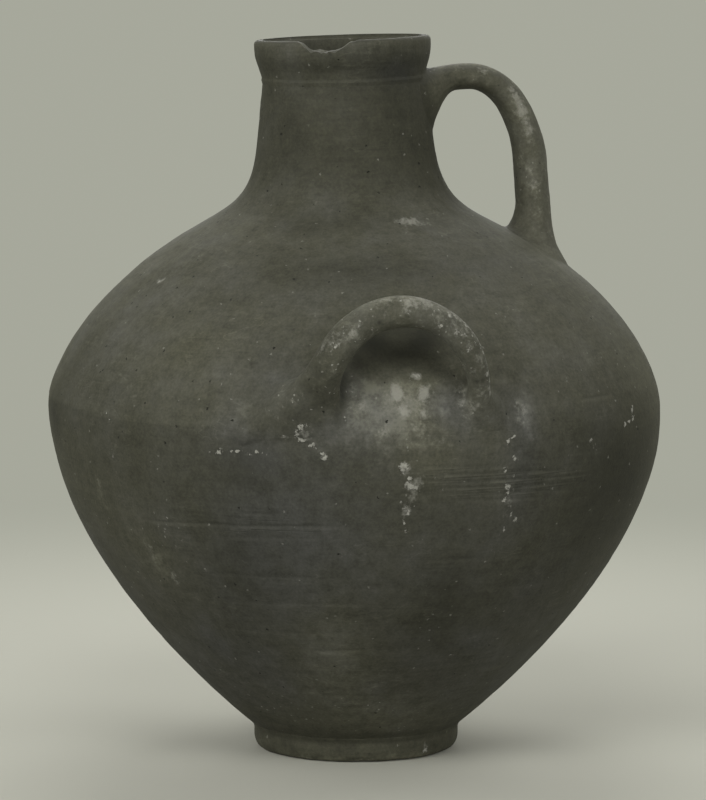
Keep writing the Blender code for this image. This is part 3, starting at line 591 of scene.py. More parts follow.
def clayMaterial(name, s):
    material = bpy.data.materials.new(name)
    material.use_nodes = True
    shader = Shader(material.node_tree)
    place = shader.node("ShaderNodeTexCoord", outlet=3)
    shifted = shader.node("ShaderNodeMapping", i0=place, Location=(0.31, 0.17, 0.05))
    field = lambda label: shader.node("ShaderNodeAttribute", {"attribute_name": label}, outlet=2)
    bell = lambda value: shader.maths("EXPONENT", value * value * -1)
    larger = lambda one, other: shader.maths("MAXIMUM", one, other)
    even = 0.5
    cloud, mottle, spots, sand = (shader.noise(place, *noise[:3]) - even for noise in mottling.values())
    patch = shader.noise(shifted, 30.0, 3.0, 0.6) - even
    # wheel streaks: long and soft, and short and fine where the surface is less worn
    streaks, fineStreaks, wander = (
        shader.noise(shader.stretched(where, wheeling[kind][0]), 1.0, 3.0, wheeling[kind][1]) - even
        for where, kind in ((place, "streaks"), (shifted, "fineStreaks"), (shifted, "scratches")))
    fineStreaks = fineStreaks * shader.step(patch, *onset["worn"])
    turned = field("turned") * (streaks * wheeling["streaks"][2] + fineStreaks * wheeling["fineStreaks"][2])
    worn = sum(noise * setting[3] for noise, setting in zip((cloud, mottle, spots, sand), mottling.values()))
    change = (worn + turned) * 2
    # grooves, a little wavy; painted shade darkens each groove and a painted highlight makes a paler line
    # along its lower edge
    gap = (field("grooveGap") + mottle * 2.6 + spots * 1.2) / s["grooveWidth"]
    cut = bell(gap) * field("groove")
    ridge = bell(gap + s["ridgeBelow"]) * field("groove")
    change = change + (ridge * s["ridge"] - cut * s["cut"]) * s["groovePaintedLight"]
    # fine scratches: where a stretched noise passes its middle value, in some places only
    scratches = 1 - shader.step(shader.maths("ABSOLUTE", wander), *onset["scratch"])
    scratches = scratches * shader.step(patch + spots * 0.4, *onset["scratched"])
    change = change + scratches * wheeling["scratches"][2]
    # rubbed dust is patchy, chalk lies thinly over the clay
    rubbed = shader.step(field("dust") + spots * 0.9 + mottle * 0.7, *onset["dust"])
    level = field("tone") * (1 + change) * (1 + rubbed * s["rubbed"])
    chalk = shader.step(field("chalk") + spots * 0.8 + sand * 0.9, *onset["chalk"]) * s["chalked"]
    # lime is a crisp crust that eats into its soft mark
    marks = field("lime")
    lime = shader.step(marks + spots * 2.4 + sand * 2.6, *onset["lime"])
    lime = lime * shader.step(marks, *onset["limeReach"])
    crowded = shader.step(field("specks") + mottle * 1.2 + spots * 0.8, *onset["specks"])
    # dots are drawn on a place that a fine noise has moved about, so that none is quite round
    ruffle = shader.node("ShaderNodeTexNoise", outlet=1, Vector=place, Scale=800.0, Detail=2.0)
    ruffle = shader.node("ShaderNodeVectorMath", {"operation": "SCALE"}, i0=ruffle, Scale=s["ruffle"])
    ruffled = shader.node("ShaderNodeVectorMath", {"operation": "ADD"}, i0=place, i1=ruffle)
    specks, loneSpecks, pits = (shader.dots(ruffled, *dotting[kind]) for kind in dotting)
    specks = larger(specks * crowded * s["specked"], loneSpecks * s["loneSpecks"])
    pale = larger(lime * (s["limed"] + sand * 1.3 + spots * 0.5), larger(specks, chalk))
    level = level * (1 - pits * s["pitted"])
    share = (level - s["darkest"]) / (s["lightest"] - s["darkest"])
    clay = shader.mix(share, s["darkColour"], s["lightColour"])
    cold = shader.step(field("cool") + mottle * 1.6 + cloud * 1.2, -1.0, 1.0)
    clay = shader.mix(1.0, clay, shader.mix(cold, s["warmTint"], s["coolTint"]), "MULTIPLY")
    colour = shader.mix(pale, clay, s["limeColour"])
    raised = (sand + spots * 1.5) * s["sandRelief"] + fineStreaks * field("turned") * s["streakRelief"]
    raised = raised + lime * s["limeRelief"] - pits * s["pitRelief"] - cut * s["grooveRelief"]
    bump = shader.node("ShaderNodeBump", Strength=s["bump"], Distance=1.0, Height=raised)
    roughness = s["roughness"] + spots * 0.16 + lime * 0.12
    surface = shader.node("ShaderNodeBsdfPrincipled", Base_Color=colour, Roughness=roughness, Normal=bump,
                          Specular_IOR_Level=s["gloss"])
    shader.node("ShaderNodeOutputMaterial", Surface=surface)
    return material


def wallFields(angle, height, skin):
    # the painted fields of a turned piece; inside the jug the clay is plain and darker
    tone = toneAt(angle, height) * (0.9 + 0.1 * skin)
    fields = {"tone": tone, "turned": 1 + 0 * tone, "cool": coolAt(angle, height)}
    return {**fields, **grooveFields(angle, height), **painted(angle, height, skin)}


# Turned pieces. Their columns stand closer together at the front than at the back.
turning = {"columns": 560, "front": -99.5, "crowding": 0.42, "lap": 0.0015, "tuck": 0.0003, "edge": 0.00008}
aroundShare = np.linspace(-1, 1, turning["columns"], endpoint=False)
columnAngles = math.radians(turning["front"]) + math.pi * (
    aroundShare - turning["crowding"] / math.pi * np.sin(math.pi * aroundShare))


def edgedRows(low, high, count):
    # one more row close to each end keeps the rounding of the shading there
    rows = wallRows(low, high, count)
    near = turning["edge"]
    return np.concatenate((rows[:1], rows[:1] + near, rows[1:-1], rows[-1:] - near, rows[-1:]))


def wallPoints(heights, depth=0, skin=1):
    # rows of (radius, height, skin) at a depth into the wall; skin is 1 where the surface is weathered
    out, up = wallNormal(heights)
    radius, heights = wallRadius(heights) - out * depth, heights - up * depth
    return np.column_stack((radius, heights, np.full(len(heights), skin)))


def wallDepth(heights):
    taper = ease(heights, wall["shoulder"][1], wall["neckJoint"])
    return wall["thickness"] + (wall["neckThickness"] - wall["thickness"]) * taper


def innerPoints(heights):
    return wallPoints(heights, wallDepth(heights), 0)[::-1]


def lapped(height):
    # the top of a lower piece runs on a little, tucked under the skin of the piece above it
    rows, tuck = np.full(1, height + turning["lap"]), turning["tuck"]
    return np.vstack((wallPoints(rows, tuck), wallPoints(rows, wallDepth(rows) - tuck, 0)))


def spin(profile, shape=None):
    # carries a profile of (radius, height, skin) round the axis, weathers it and lets it settle
    radius, height, skin = (part[:, None] for part in np.asarray(profile, float).T)
    angle = columnAngles[None]
    out, up = wallNormal(height)
    push = skin * relief(angle, height)
    radius, height = np.broadcast_arrays(radius + out * push, height + up * push)
    if shape:
        radius, height = shape(angle, radius, height)
    points = settled(radius * np.cos(angle), radius * np.sin(angle), height)
    return points, angle, height, np.broadcast_to(skin, height.shape)


def turnedPiece(name, profile, shape=None, poles=None, touchUp=None):
    points, angle, height, skin = spin(profile, shape)
    rows, columns = height.shape
    fields = wallFields(angle, height, skin)
    if touchUp:
        touchUp(fields, angle, height, points)
    faces = gridFaces(rows, columns, closed=poles is None)
    flat = points.reshape(-1, 3)
    if poles:
        flat = np.vstack((flat, [(0, 0, poles[0]), (0, 0, poles[1])]))
        faces += fanFaces(len(flat) - 2, 0, columns, False)
        faces += fanFaces(len(flat) - 1, (rows - 1) * columns, columns, True)
        fields = {label: np.append(values, (values.flat[0], values.flat[-1]))
                  for label, values in fields.items()}
    return makePiece(name, flat, faces, fields)


foot = {"radius": 0.0585, "inner": 0.0450, "top": 0.01405, "edgeRun": 0.0045, "edgeRise": 0.0075,
        "groove": 0.0002, "innerRound": 0.002, "flareFrom": 0.0104, "flare": 0.0012}


def rounded(radius, top, run, rise, count=12):
    # a quarter of an oval, from the upright side at (radius, top - rise) in to (radius - run, top)
    turn = np.linspace(0, math.pi / 2, count)
    return np.column_stack((radius - run * (1 - np.cos(turn)), top - rise * (1 - np.sin(turn))))


def footProfile(s):
    # flat underside, a worn outer edge, and a side that runs out at its top to meet the body
    edge = rounded(s["radius"], 0, s["edgeRun"], -s["edgeRise"])[::-1]
    heights = np.linspace(s["edgeRise"], s["top"] - s["groove"], 16)
    share = np.clip((heights - s["flareFrom"]) / (s["top"] - s["flareFrom"]), 0, 1)
    side = np.column_stack((s["radius"] + s["flare"] * share ** 2, heights))
    top = rounded(side[-1, 0], s["top"], s["groove"], s["groove"])
    inner = rounded(s["inner"], 0, -s["innerRound"], -s["innerRound"])
    outside = np.vstack((edge, side[1:], top[1:]))
    outside = np.column_stack((outside, np.ones(len(outside))))
    return np.vstack((outside, (s["inner"], s["top"], 0), np.column_stack((inner, np.zeros(len(inner))))))


turnedPiece("foot_ring", footProfile(foot))

lower = {"rows": 150, "innerRows": 16, "discRadius": 0.0447, "discHeight": 0.0093,
         "floorRadius": 0.040, "floorHeight": 0.0185, "innerFrom": 0.010, "hollow": 0.0004,
         "hollowRise": 0.0018}


def lowerProfile(s):
    seat, seam = wall["base"][1], wall["seam"]
    disc = [(s["discRadius"] * share, s["discHeight"], 0) for share in (0.5, 1)]
    disc.append((s["discRadius"], seat, 0))
    inner = innerPoints(wallRows(seat + s["innerFrom"], seam, s["innerRows"]))
    floor = [(s["floorRadius"], s["floorHeight"], 0), (s["floorRadius"] * 0.5, s["floorHeight"], 0)]
    outer = wallPoints(edgedRows(seat, seam, s["rows"]))
    # the foot's hollow ends on the body
    outer[:, 0] += s["hollow"] * 2 * (1 - ease(outer[:, 1], seat - s["hollowRise"], seat + s["hollowRise"]))
    return np.vstack((disc, outer, lapped(seam), inner, floor))


turnedPiece("lower_body", lowerProfile(lower),
            poles=(lower["discHeight"], lower["floorHeight"]))

upper = {"rows": 132, "innerRows": 20}


def upperProfile(s):
    seam, joint = wall["seam"], wall["neckJoint"]
    outer = wallPoints(edgedRows(seam, joint, s["rows"]))
    return np.vstack((outer, lapped(joint), innerPoints(wallRows(seam, joint, s["innerRows"]))))


turnedPiece("upper_body", upperProfile(upper))

neck = {"rows": 80, "innerRows": 24, "ridgeRows": 10, "ridgeFrom": 0.0004, "innerBelow": 0.002,
        "tongueRadius": 0.0426, "tongueTop": 0.3907, "boreRadius": 0.0395}


def neckProfile(s):
    joint, top = wall["neckJoint"], wall["collarFoot"][1]
    waist = wall["waist"][1]
    ridge = np.linspace(waist + s["ridgeFrom"], top, s["ridgeRows"])
    outer = wallPoints(np.concatenate((edgedRows(joint, waist, s["rows"]), ridge)))
    corners = (("tongueRadius", top), ("tongueRadius", s["tongueTop"]), ("boreRadius", s["tongueTop"]))
    tongue = [(s[radius], height, 0) for radius, height in corners]
    inner = innerPoints(wallRows(joint, waist - s["innerBelow"], s["innerRows"]))
    return np.vstack((outer, tongue, inner))


turnedPiece("neck", neckProfile(neck))

rim = {"rows": 46, "lipRound": 0.0026, "mouth": 0.0428, "bevel": 0.0022, "bore": 0.0395, "slot": 0.0429,
       "slotTop": 0.3910, "chipTurn": -109.6, "chipWidth": 0.0372, "chipDepth": 0.0070,
       "innerDepth": 0.66, "innerWidth": 0.86, "innerReach": 0.0328, "outerReach": 0.0599,
       "roughness": ((0.0016, 0.00035), (0.0042, 0.0004)), "freshPale": 0.30, "freshDepth": 0.0006,
       "lipWearAndHighlight": 0.34, "lipBelow": 0.0022, "lipBlur": 0.0016}
# The chip's outline: place across it and depth, as shares
chipOutline = [(0, 0), (0.06, 0.12), (0.13, 0.46), (0.19, 0.78), (0.25, 0.96), (0.34, 0.92), (0.42, 1.0),
               (0.52, 0.94), (0.62, 0.97), (0.70, 0.84), (0.78, 0.52), (0.87, 0.24), (0.94, 0.08), (1, 0)]


def rimProfile(s):
    low, high = wall["collarFoot"][1], wall["swell"][1]
    side = wallPoints(np.append(low, np.linspace(low + turning["edge"], high, s["rows"])))
    radius, top = wall["swell"][0], wall["rim"]
    upright = np.column_stack((np.full(8, radius), np.linspace(high, top - s["lipRound"], 9)[1:]))
    lip = rounded(radius, top, s["lipRound"], s["lipRound"])
    flat = np.column_stack((np.linspace(radius - s["lipRound"], s["mouth"] + s["bevel"], 5), np.full(5, top)))
    turn = np.linspace(0, math.pi / 2, 12)
    bevel = np.column_stack((s["mouth"] + s["bevel"] * np.cos(turn), top - s["bevel"] * np.sin(turn)))
    edge = np.vstack((upright, lip[1:], flat[1:-1], bevel))
    edge = np.column_stack((edge, np.full(len(edge), 0.6)))
    heights = np.linspace(top - s["bevel"], s["slotTop"], 14)[1:]
    throat = np.column_stack((np.interp(heights, (s["slotTop"], top - s["bevel"]), (s["bore"], s["mouth"])),
                              heights, np.full(13, 0.3)))
    slot = [(s["slot"], s["slotTop"], 0), (s["slot"], low, 0)]
    return np.vstack((side, edge, throat, slot))


def chipSurface(angle, radius, s):
    # the broken face: the outline's depth, less deep and less wide towards the mouth, and rough
    across = radius * np.sin(turnTo(angle, s["chipTurn"]))
    reach = np.clip((radius - s["innerReach"]) / (s["outerReach"] - s["innerReach"]), 0, 1)
    width = s["chipWidth"] * (s["innerWidth"] + (1 - s["innerWidth"]) * reach)
    depth = s["chipDepth"] * (s["innerDepth"] + (1 - s["innerDepth"]) * reach)
    places, depths = np.array(chipOutline).T
    outline = np.interp(across / width + 0.5, places, depths)
    front = np.cos(turnTo(angle, s["chipTurn"])) > 0
    spots = np.stack(np.broadcast_arrays(across, radius, 0 * radius), -1)
    rough = sum(grain(spots, spacing, 21 + order) * out
                for order, (spacing, out) in enumerate(s["roughness"]))
    broken = np.where(front, outline, 0)
    return wall["rim"] - depth * broken + rough * ease(broken, 0, 0.2), broken


def chipped(angle, radius, height):
    return radius, np.minimum(height, chipSurface(angle, radius, rim)[0])


def chipFields(fields, angle, height, points):
    # the fresh break is lighter, and the lip's edge is lighter from rubbed wear and a painted highlight
    radius = np.hypot(points[..., 0] + leanAt(0, 0, height)[0], points[..., 1])
    surface, broken = chipSurface(angle, radius, rim)
    fresh = ease(height, surface - rim["freshDepth"], surface) * ease(broken, 0.02, 0.2)
    lip = np.exp(-((height - wall["rim"] + rim["lipBelow"]) / rim["lipBlur"]) ** 2)
    fields["tone"] = fields["tone"] * (1 + rim["freshPale"] * fresh + rim["lipWearAndHighlight"] * lip)
    fields["turned"] = fields["turned"] * (1 - fresh)


turnedPiece("rim_collar", rimProfile(rim), shape=chipped, touchUp=chipFields)
print("turned pieces done")


# Handles: an oval carried along a path, spread at both roots and smeared into the wall
def eased(share, table):
    # values that go from each place of a table to the next along a smooth step
    table = np.array(table, float)
    total = np.repeat(table[:1, 1:], len(share), 0)
    for before, after in zip(table, table[1:]):
        total = total + ease(share, before[0], after[0])[:, None] * (after[1:] - before[1:])
    return total


def spread(distance, run):
    return np.maximum(1 - np.maximum(distance / run, -0.3), 0) ** 2


def offWall(points):
    # how far points stand off the weathered wall, and the way the wall faces there
    x, y, z = points[..., 0], points[..., 1], points[..., 2]
    aside, lift = leanAt(x, y, z)
    x, z = x + aside, z - lift
    angle, reach = np.arctan2(y, x), np.hypot(x, y)
    out, up = wallNormal(z)
    distance = (reach - wallRadius(z)) * out - relief(angle, z)
    facing = np.stack((x / reach * out, y / reach * out, up), -1)
    return distance, facing, angle, z


# Lumps of a coil: spacing and height in metres, and how fast they change along it. Finger marks come first.
coilLumps = [(0.0042, 0.00022, 0.16), (0.016, 0.00040, 1), (0.0055, 0.00013, 1), (0.0021, 0.00005, 1)]


def sweep(s, path, across):
    # rings along the path, closer together towards the roots; each is an oval whose halves may spread
    steps = np.append(0, np.cumsum(np.linalg.norm(np.diff(path, axis=0), axis=1)))
    share = np.linspace(0, 1, s["rings"])
    crowding = 0.55
    share = share - crowding * (share - (1 - np.cos(math.pi * share)) / 2)
    goal = share * steps[-1]
    at = lambda where: np.stack([np.interp(where, steps, path[:, axis]) for axis in range(3)], -1)
    centre = at(goal)
    gap = 0.0015
    along = at(np.minimum(goal + gap, steps[-1])) - at(np.maximum(goal - gap, 0))
    along /= np.linalg.norm(along, axis=1)[:, None]
    sideways = across(centre)
    sideways = sideways - along * (sideways * along).sum(1)[:, None]
    sideways /= np.linalg.norm(sideways, axis=1)[:, None]
    outward = np.cross(along, sideways)
    thick, wide = eased(share, s["section"]).T[..., None]
    bury = s["bury"]
    first = spread(goal - bury, s["runs"][0])[:, None]
    last = spread(steps[-1] - goal - bury, s["runs"][1])[:, None]
    turn = np.linspace(0, -math.tau, s["sides"], endpoint=False)[None]
    flat, broad = np.cos(turn), np.sin(turn)
    flare = [first * start + last * end for start, end in zip(*s["flares"])]
    thick = (thick + np.where(flat > 0, flare[0], flare[1])) * s["thickness"] / 2
    wide = (wide + np.where(broad > 0, flare[2], flare[3])) * s["width"] / 2
    swell = -0.0002
    for order, (spacing, height, drawn) in enumerate(coilLumps):
        place = np.stack(np.broadcast_arrays(goal[:, None] * drawn, flat * 0.011, broad * 0.011), -1)
        swell = swell + grain(place, spacing, s["seed"] + order) * height
    scale = 1 + swell / (s["thickness"] / 2)
    thick, wide = flat * thick * scale, broad * wide * scale
    offset = outward[:, None] * thick[..., None] + sideways[:, None] * wide[..., None]
    return centre, centre[:, None] + offset, share[:, None], turn


# How a root is smeared into the wall, in metres: the fillet's unevenness, and what happens close to the skin
smearing = {"uneven": 0.22, "spacing": 0.006, "slip": 12, "slipDepth": 0.0004, "flat": 0.0012,
            "middle": 0.003, "rounds": 8, "reach": 0.004}


def smeared(s, centre, points, share, turn):
    # a fillet: a point at distance d off the wall, less than f, moves along the wall away from the
    # handle's middle by f - sqrt(f^2 - (f - d)^2); what lies deep is brought up to just below the skin
    plain, away, low = np.where(share < 0.5, *[np.array(part)[:, None, None] for part in s["fillets"]])
    fillet = plain + away * ease(np.sin(turn), -0.3, 1) + low * ease(-np.cos(turn), -0.3, 1)
    fillet = fillet * (1 + smearing["uneven"] * grain(points, smearing["spacing"], s["seed"] + 4))
    distance, facing, _, _ = offWall(points)
    direction = points - centre[:, None]
    direction = direction - facing * (direction * facing).sum(-1)[..., None]
    size = np.linalg.norm(direction, axis=-1)[..., None]
    direction = direction / np.maximum(size, 0.0001) * ease(size, 0, smearing["middle"])
    near = np.clip(distance, 0, fillet)
    moved = fillet - np.sqrt(np.maximum(fillet ** 2 - (fillet - near) ** 2, 0))
    moved = moved + smearing["slip"] * np.clip(-distance, 0, smearing["slipDepth"])
    keep = -s["under"]
    free = distance > fillet
    stay = np.maximum(distance, keep)
    stay = np.where(stay > 0, stay * ease(stay, 0, smearing["flat"]), stay)
    points = points + direction * np.where(distance < keep, 0, moved)[..., None]
    for _ in range(smearing["rounds"]):
        distance, facing, _, _ = offWall(points)
        lift = np.where(free, 0, np.clip(stay - distance, -smearing["reach"], smearing["reach"]))
        points = points + facing * lift[..., None]
    return points


# Dirt of a handle: halo of chalk round lime, strength of chalk, what dust and crust add, where they set
# in, and spacing and reach of the marks' ragged outlines
handleDirt = {"halo": 0.4, "chalk": 0.88, "topDust": 0.45, "topChalk": 0.14, "crustChalk": 0.3,
              "tops": (0.35, 0.95), "crustSide": (0.62, 0.96), "crustEnds": (0.04, 0.06),
              "crustSpacing": 0.0035, "offWall": (0.0002, 0.007), "ragged": (0.0022, 0.0007),
              "blotches": (0.0032, 0.0016), "blotchy": 0.8}


def nearMarks(points, marks):
    # for each mark, how near the points are to it, as a bell, and its last number
    for x, y, z, reach, strength in marks:
        offset = points - np.array((x, y, z)) / 1000
        yield np.exp(-(offset ** 2).sum(-1) / (reach / 1000) ** 2), strength


def handleFields(s, points, share, turn, facingUp):
    dirt = handleDirt
    distance, _, angle, height = offWall(points)
    on = ease(distance, *dirt["offWall"])
    tone = toneAt(angle, height) * (1 - on) + s["tone"] * on
    for near, change in nearMarks(points, s["toneMarks"]):
        tone = tone * (1 + change * near)
    fields = {"turned": 1 - on, "cool": coolAt(angle, height) * (1 - on) + s["cool"] * on}
    fields.update(grooveFields(angle, height))
    fields["groove"] = fields["groove"] * (1 - on)
    fields.update(painted(angle, height, 1 - on))
    spacing, reach = dirt["ragged"]
    moved = points + np.stack([grain(points, spacing, seed) for seed in (45, 46, 47)], -1) * reach
    lime, chalk = fields["lime"], fields["chalk"]
    for near, strength in nearMarks(moved, s["limeMarks"]):
        lime = np.maximum(lime, near * strength)
        chalk = np.maximum(chalk, near ** 0.5 * strength * dirt["halo"])
    for near, strength in nearMarks(moved, s["chalkMarks"]):
        chalk = np.maximum(chalk, near * strength * dirt["chalk"])
    blotch = sum(grain(points, spacing, s["seed"] + 7 + order)
                 for order, spacing in enumerate(dirt["blotches"])) * dirt["blotchy"]
    # dust lies on what faces up, and a crust of lime runs along part of the loop's outer side
    tops = ease(facingUp, *dirt["tops"]) * on
    crustFrom, crustTo, strength = s["crust"]
    starting, ending = dirt["crustEnds"]
    along = ease(share, crustFrom, crustFrom + starting) * (1 - ease(share, crustTo - ending, crustTo))
    crust = along * ease(np.sin(turn), *dirt["crustSide"]) * on * strength
    crusted = crust * (0.6 + 0.6 * grain(points, dirt["crustSpacing"], s["seed"] + 6))
    fields["lime"] = np.maximum(lime, crusted)
    fields["dust"] = fields["dust"] + s["dust"] * on + tops * dirt["topDust"]
    chalk = chalk + tops * dirt["topChalk"] + crust * dirt["crustChalk"]
    fields["chalk"] = chalk + on * s["chalk"] * (0.8 + blotch)
    fields["specks"] = fields["specks"] + s["specks"] * on
    # painted light: what faces up is made lighter, as if lit from above
    fields["tone"] = tone * (1 + s["paintedTopLight"] * tops)
    return fields


def handlePiece(name, s, path, across, turned=0):
    centre, points, share, turn = sweep(s, path, across)
    if turned:
        c, d = math.cos(math.radians(turned)), math.sin(math.radians(turned))
        rotate = np.array(((c, d, 0), (-d, c, 0), (0, 0, 1)))
        centre, points = centre @ rotate, points @ rotate
    away = points - centre[:, None]
    facingUp = away[..., 2] / np.linalg.norm(away, axis=-1)
    points = smeared(s, centre, points, share, turn)
    fields = handleFields(s, points, share, turn, facingUp)
    rows, columns = points.shape[:2]
    faces = gridFaces(rows, columns, closed=False)
    ends = points[0].mean(0), points[-1].mean(0)
    flat = np.vstack((points.reshape(-1, 3), ends))
    faces += fanFaces(len(flat) - 2, 0, columns, False)
    faces += fanFaces(len(flat) - 1, (rows - 1) * columns, columns, True)
    fields = {label: np.append(np.broadcast_to(values, (rows, columns)), (values.flat[0], values.flat[-1]))
              for label, values in fields.items()}
    return makePiece(name, flat, faces, fields)


def buried(path, depth):
    # the path, run straight on at both ends so that it finishes under the wall
    first, last = (path[end] + (path[end] - path[inner]) / np.linalg.norm(path[end] - path[inner]) * depth
                   for end, inner in ((0, 1), (-1, -2)))
    return np.vstack((first, path, last))


pouring = {
    "neckRoot": 0.3775, "shoulderRoot": 0.2862, "archRun": 0.0255, "archHeight": 0.3820,
    "legReach": 0.1004, "legHeight": 0.3320, "thickness": 0.0193, "width": 0.0290, "rings": 250, "sides": 130,
    "pulls": ((0.30, 0.42), (0.33, 0.41), (0.33, 0.33)), "bury": 0.014, "under": 0.0012,
    "section": ((0.00, 0.80, 1.04), (0.22, 0.77, 0.96), (0.50, 0.93, 0.98), (0.70, 1.00, 1.00), (1, 1, 1)),
    "runs": (0.017, 0.026), "flares": ((0.05, 2.00, 0.35, 0.35), (0.20, 2.00, 0.40, 0.40)),
    "fillets": ((0.0022, 0.002, 0.002), (0.0095, 0.001, -0.0075)), "seed": 31,
    "tone": 0.078, "cool": -0.5, "dust": 0.14, "specks": 0.26, "chalk": 0.15, "paintedTopLight": 0.15,
    "crust": (0.30, 0.50, 0.0),
    "toneMarks": [
        # painted highlight: the marks from x 90 to 101 lighten a band down the handle's near side, where
        # light catches its rounded side
        (90, -13, 366, 8, 0.3), (95, -14, 356, 6, 0.25), (97, -14, 342, 7, 0.16), (98, -14, 330, 7, 0.2),
        (100, -14, 318, 7, 0.18), (101, -14, 304, 7, 0.18), (78, -11, 372, 8, -0.2),
        (58, -9, 372, 7, -0.15),
    ],
    "chalkMarks": [
        # the first twelve marks run down the same band on the handle's near side: partly chalky wear, partly
        # a painted highlight
        (87.5, -11, 375.5, 4, 0.52), (89.3, -12.5, 371.5, 4.4, 0.6), (91.2, -13.4, 367, 4.4, 0.66),
        (93, -13.8, 362.4, 4.4, 0.7), (94.6, -14, 357.4, 4.2, 0.64), (96.4, -14, 351.6, 4, 0.55),
        (97, -13.6, 345, 4, 0.3), (97.4, -13.4, 338, 4, 0.32), (98, -13.6, 331, 4, 0.28),
        (100, -14, 322, 4.6, 0.3), (100.8, -14.2, 314, 4.6, 0.32), (101, -14, 306, 4.6, 0.28),
        (69, -10, 385, 4.4, 0.45), (60, -9, 385, 4, 0.42),
    ],
    "limeMarks": [
        (44, -8, 386, 1.2, 0.7), (103, -9, 300, 1, 0.7), (92, -13, 288, 1.2, 0.7),
        (92.2, -13.6, 366, 1.2, 0.8), (95, -14, 357, 1.1, 0.8),
    ],
}


def pouringPath(s):
    onWall = lambda height: settled(wallRadius(height), 0, height)
    neckSide, shoulderSide = onWall(s["neckRoot"]), onWall(s["shoulderRoot"])
    archTop = np.array((neckSide[0] + s["archRun"], 0, s["archHeight"]))
    leg = np.array((s["legReach"], 0, s["legHeight"]))
    out = (1, 0, 0)
    arcs = [
        arc(neckSide, archTop - neckSide, archTop, out, s["pulls"][0]),
        arc(archTop, out, leg, shoulderSide - leg, s["pulls"][1])[1:],
        arc(leg, shoulderSide - leg, shoulderSide, shoulderSide - leg, s["pulls"][2])[1:],
    ]
    return buried(np.vstack(arcs), s["bury"])


handlePiece("pouring_handle", pouring, pouringPath(pouring),
            lambda centre: np.broadcast_to((0.0, 1.0, 0.0), centre.shape))

side = {
    "halfSpan": 0.0430, "rootHeight": 0.2167, "apexReach": 0.1790, "apexHeight": 0.2680,
    "thickness": 0.0186, "width": 0.0186, "rings": 300, "sides": 190,
    "pulls": (0.48, 0.38), "leave": (0.04, -0.61, 0.85), "bury": 0.014, "under": 0.0012,
    "section": ((0.00, 0.74, 0.60), (0.16, 0.78, 0.66), (0.34, 0.92, 0.87), (0.50, 1.00, 0.94),
                (0.66, 1.00, 0.96), (0.82, 0.96, 0.96), (1.00, 0.94, 0.92)),
    "runs": (0.012, 0.030), "flares": ((0.40, 0.05, 0.50, 0.34), (0.30, -0.15, 1.45, 0.40)),
    "fillets": ((0.0025, 0.003, 0.005), (0.0030, 0.016, 0.008)), "seed": 51,
    "tone": 0.069, "cool": -0.25, "dust": 0.18, "specks": 0.42, "chalk": 0.20, "paintedTopLight": 0.18,
    "crust": (0.13, 0.40, 0.80),
    "frontTurn": -1.6, "backTurn": 180.0,
    "toneMarks": [
        # painted shade: the darkening marks at x -58 and -50 shade the left leg and its root, which face away
        # from the light, and those at x -36, -38 and -33 lay a painted shadow on the wall along the left
        # leg's inner side
        (-5, -186, 274, 14, 0.3), (26, -183, 264, 10, 0.12), (-58, -168, 208, 16, -0.2),
        (-50, -178, 226, 12, -0.27), (-50, -179, 249, 9, -0.16), (38, -175, 219, 8, 0.27),
        (-36, -166, 221, 4, -0.3), (-38, -168, 213, 4, -0.25), (-33, -162, 232, 5, -0.35),
        (-18.9, -187.5, 263.2, 1.3, -0.6), (32, -180, 230.6, 1.5, -0.4), (35, -180, 230.1, 1.5, -0.5),
        (38, -180.4, 230.6, 1.5, -0.5), (41, -179, 231, 1.3, -0.4),
    ],
    "chalkMarks": [
        (-48.5, -180, 250, 3.6, 0.42), (-44, -182.5, 253, 3.8, 0.52), (-39, -184.5, 256, 3.8, 0.58),
        (-34, -186.5, 258.5, 3.2, 0.5), (-2, -186, 274, 6, 0.48), (6, -185.5, 274, 6, 0.48),
        (-14, -184.6, 273, 5, 0.34), (15, -188, 262.5, 3.4, 0.48), (20, -186.5, 262, 4, 0.48),
        (25, -187, 257, 4, 0.46), (30, -186.6, 250, 3.6, 0.42), (34, -183.5, 243, 3.4, 0.38),
        (37, -179, 222, 4.5, 0.5), (43, -175, 226, 2, 1.1), (44, -173.5, 223, 1.6, 0.9),
        (33, -175, 215, 5, 0.48), (31, -172, 211, 4, 0.32), (26, -186, 266, 3.4, 0.42),
    ],
    "limeMarks": [
        (-44.2, -183.2, 252.5, 2.4, 0.48), (-37.1, -185.4, 259.5, 2.4, 0.5),
        (-38.3, -185.9, 256.9, 2, 0.5), (-29.4, -187.3, 262.2, 1.9, 0.8),
        (-22.8, -186.2, 258.3, 1.6, 0.8), (-3.3, -188.2, 268.2, 1.8, 1), (-7.5, -184.3, 274.8, 1.8, 0.8),
        (14.4, -188.2, 261.5, 2, 1.1), (20.3, -185.3, 266.4, 2.4, 1.1), (17, -187, 264, 1.6, 0.9),
        (22.5, -188.2, 257.1, 1.8, 1.1), (26.5, -186.5, 256, 1.6, 0.9), (29.3, -186.7, 247.8, 1.6, 1),
        (32.5, -185, 250.5, 1.6, 0.9), (40.4, -181, 240.2, 1.8, 1.2), (39, -180, 246, 1.7, 1.1),
        (36, -184, 251, 1.5, 1), (-42.4, -185.1, 251.6, 2.8, 0.5), (40.5, -179, 233.5, 1.6, 1.2),
        (37.6, -175.1, 221.5, 1.8, 0.9), (36.2, -176, 227, 1.6, 0.9), (43.1, -174.2, 230, 1.8, 1.3),
        (33, -181, 236, 1.6, 0.9), (30, -176.5, 219, 2.2, 0.8), (33.5, -173.5, 214, 2, 0.8),
        (27, -174, 222, 1.8, 0.8), (35, -182.5, 243, 1.4, 0.9),
    ],
}


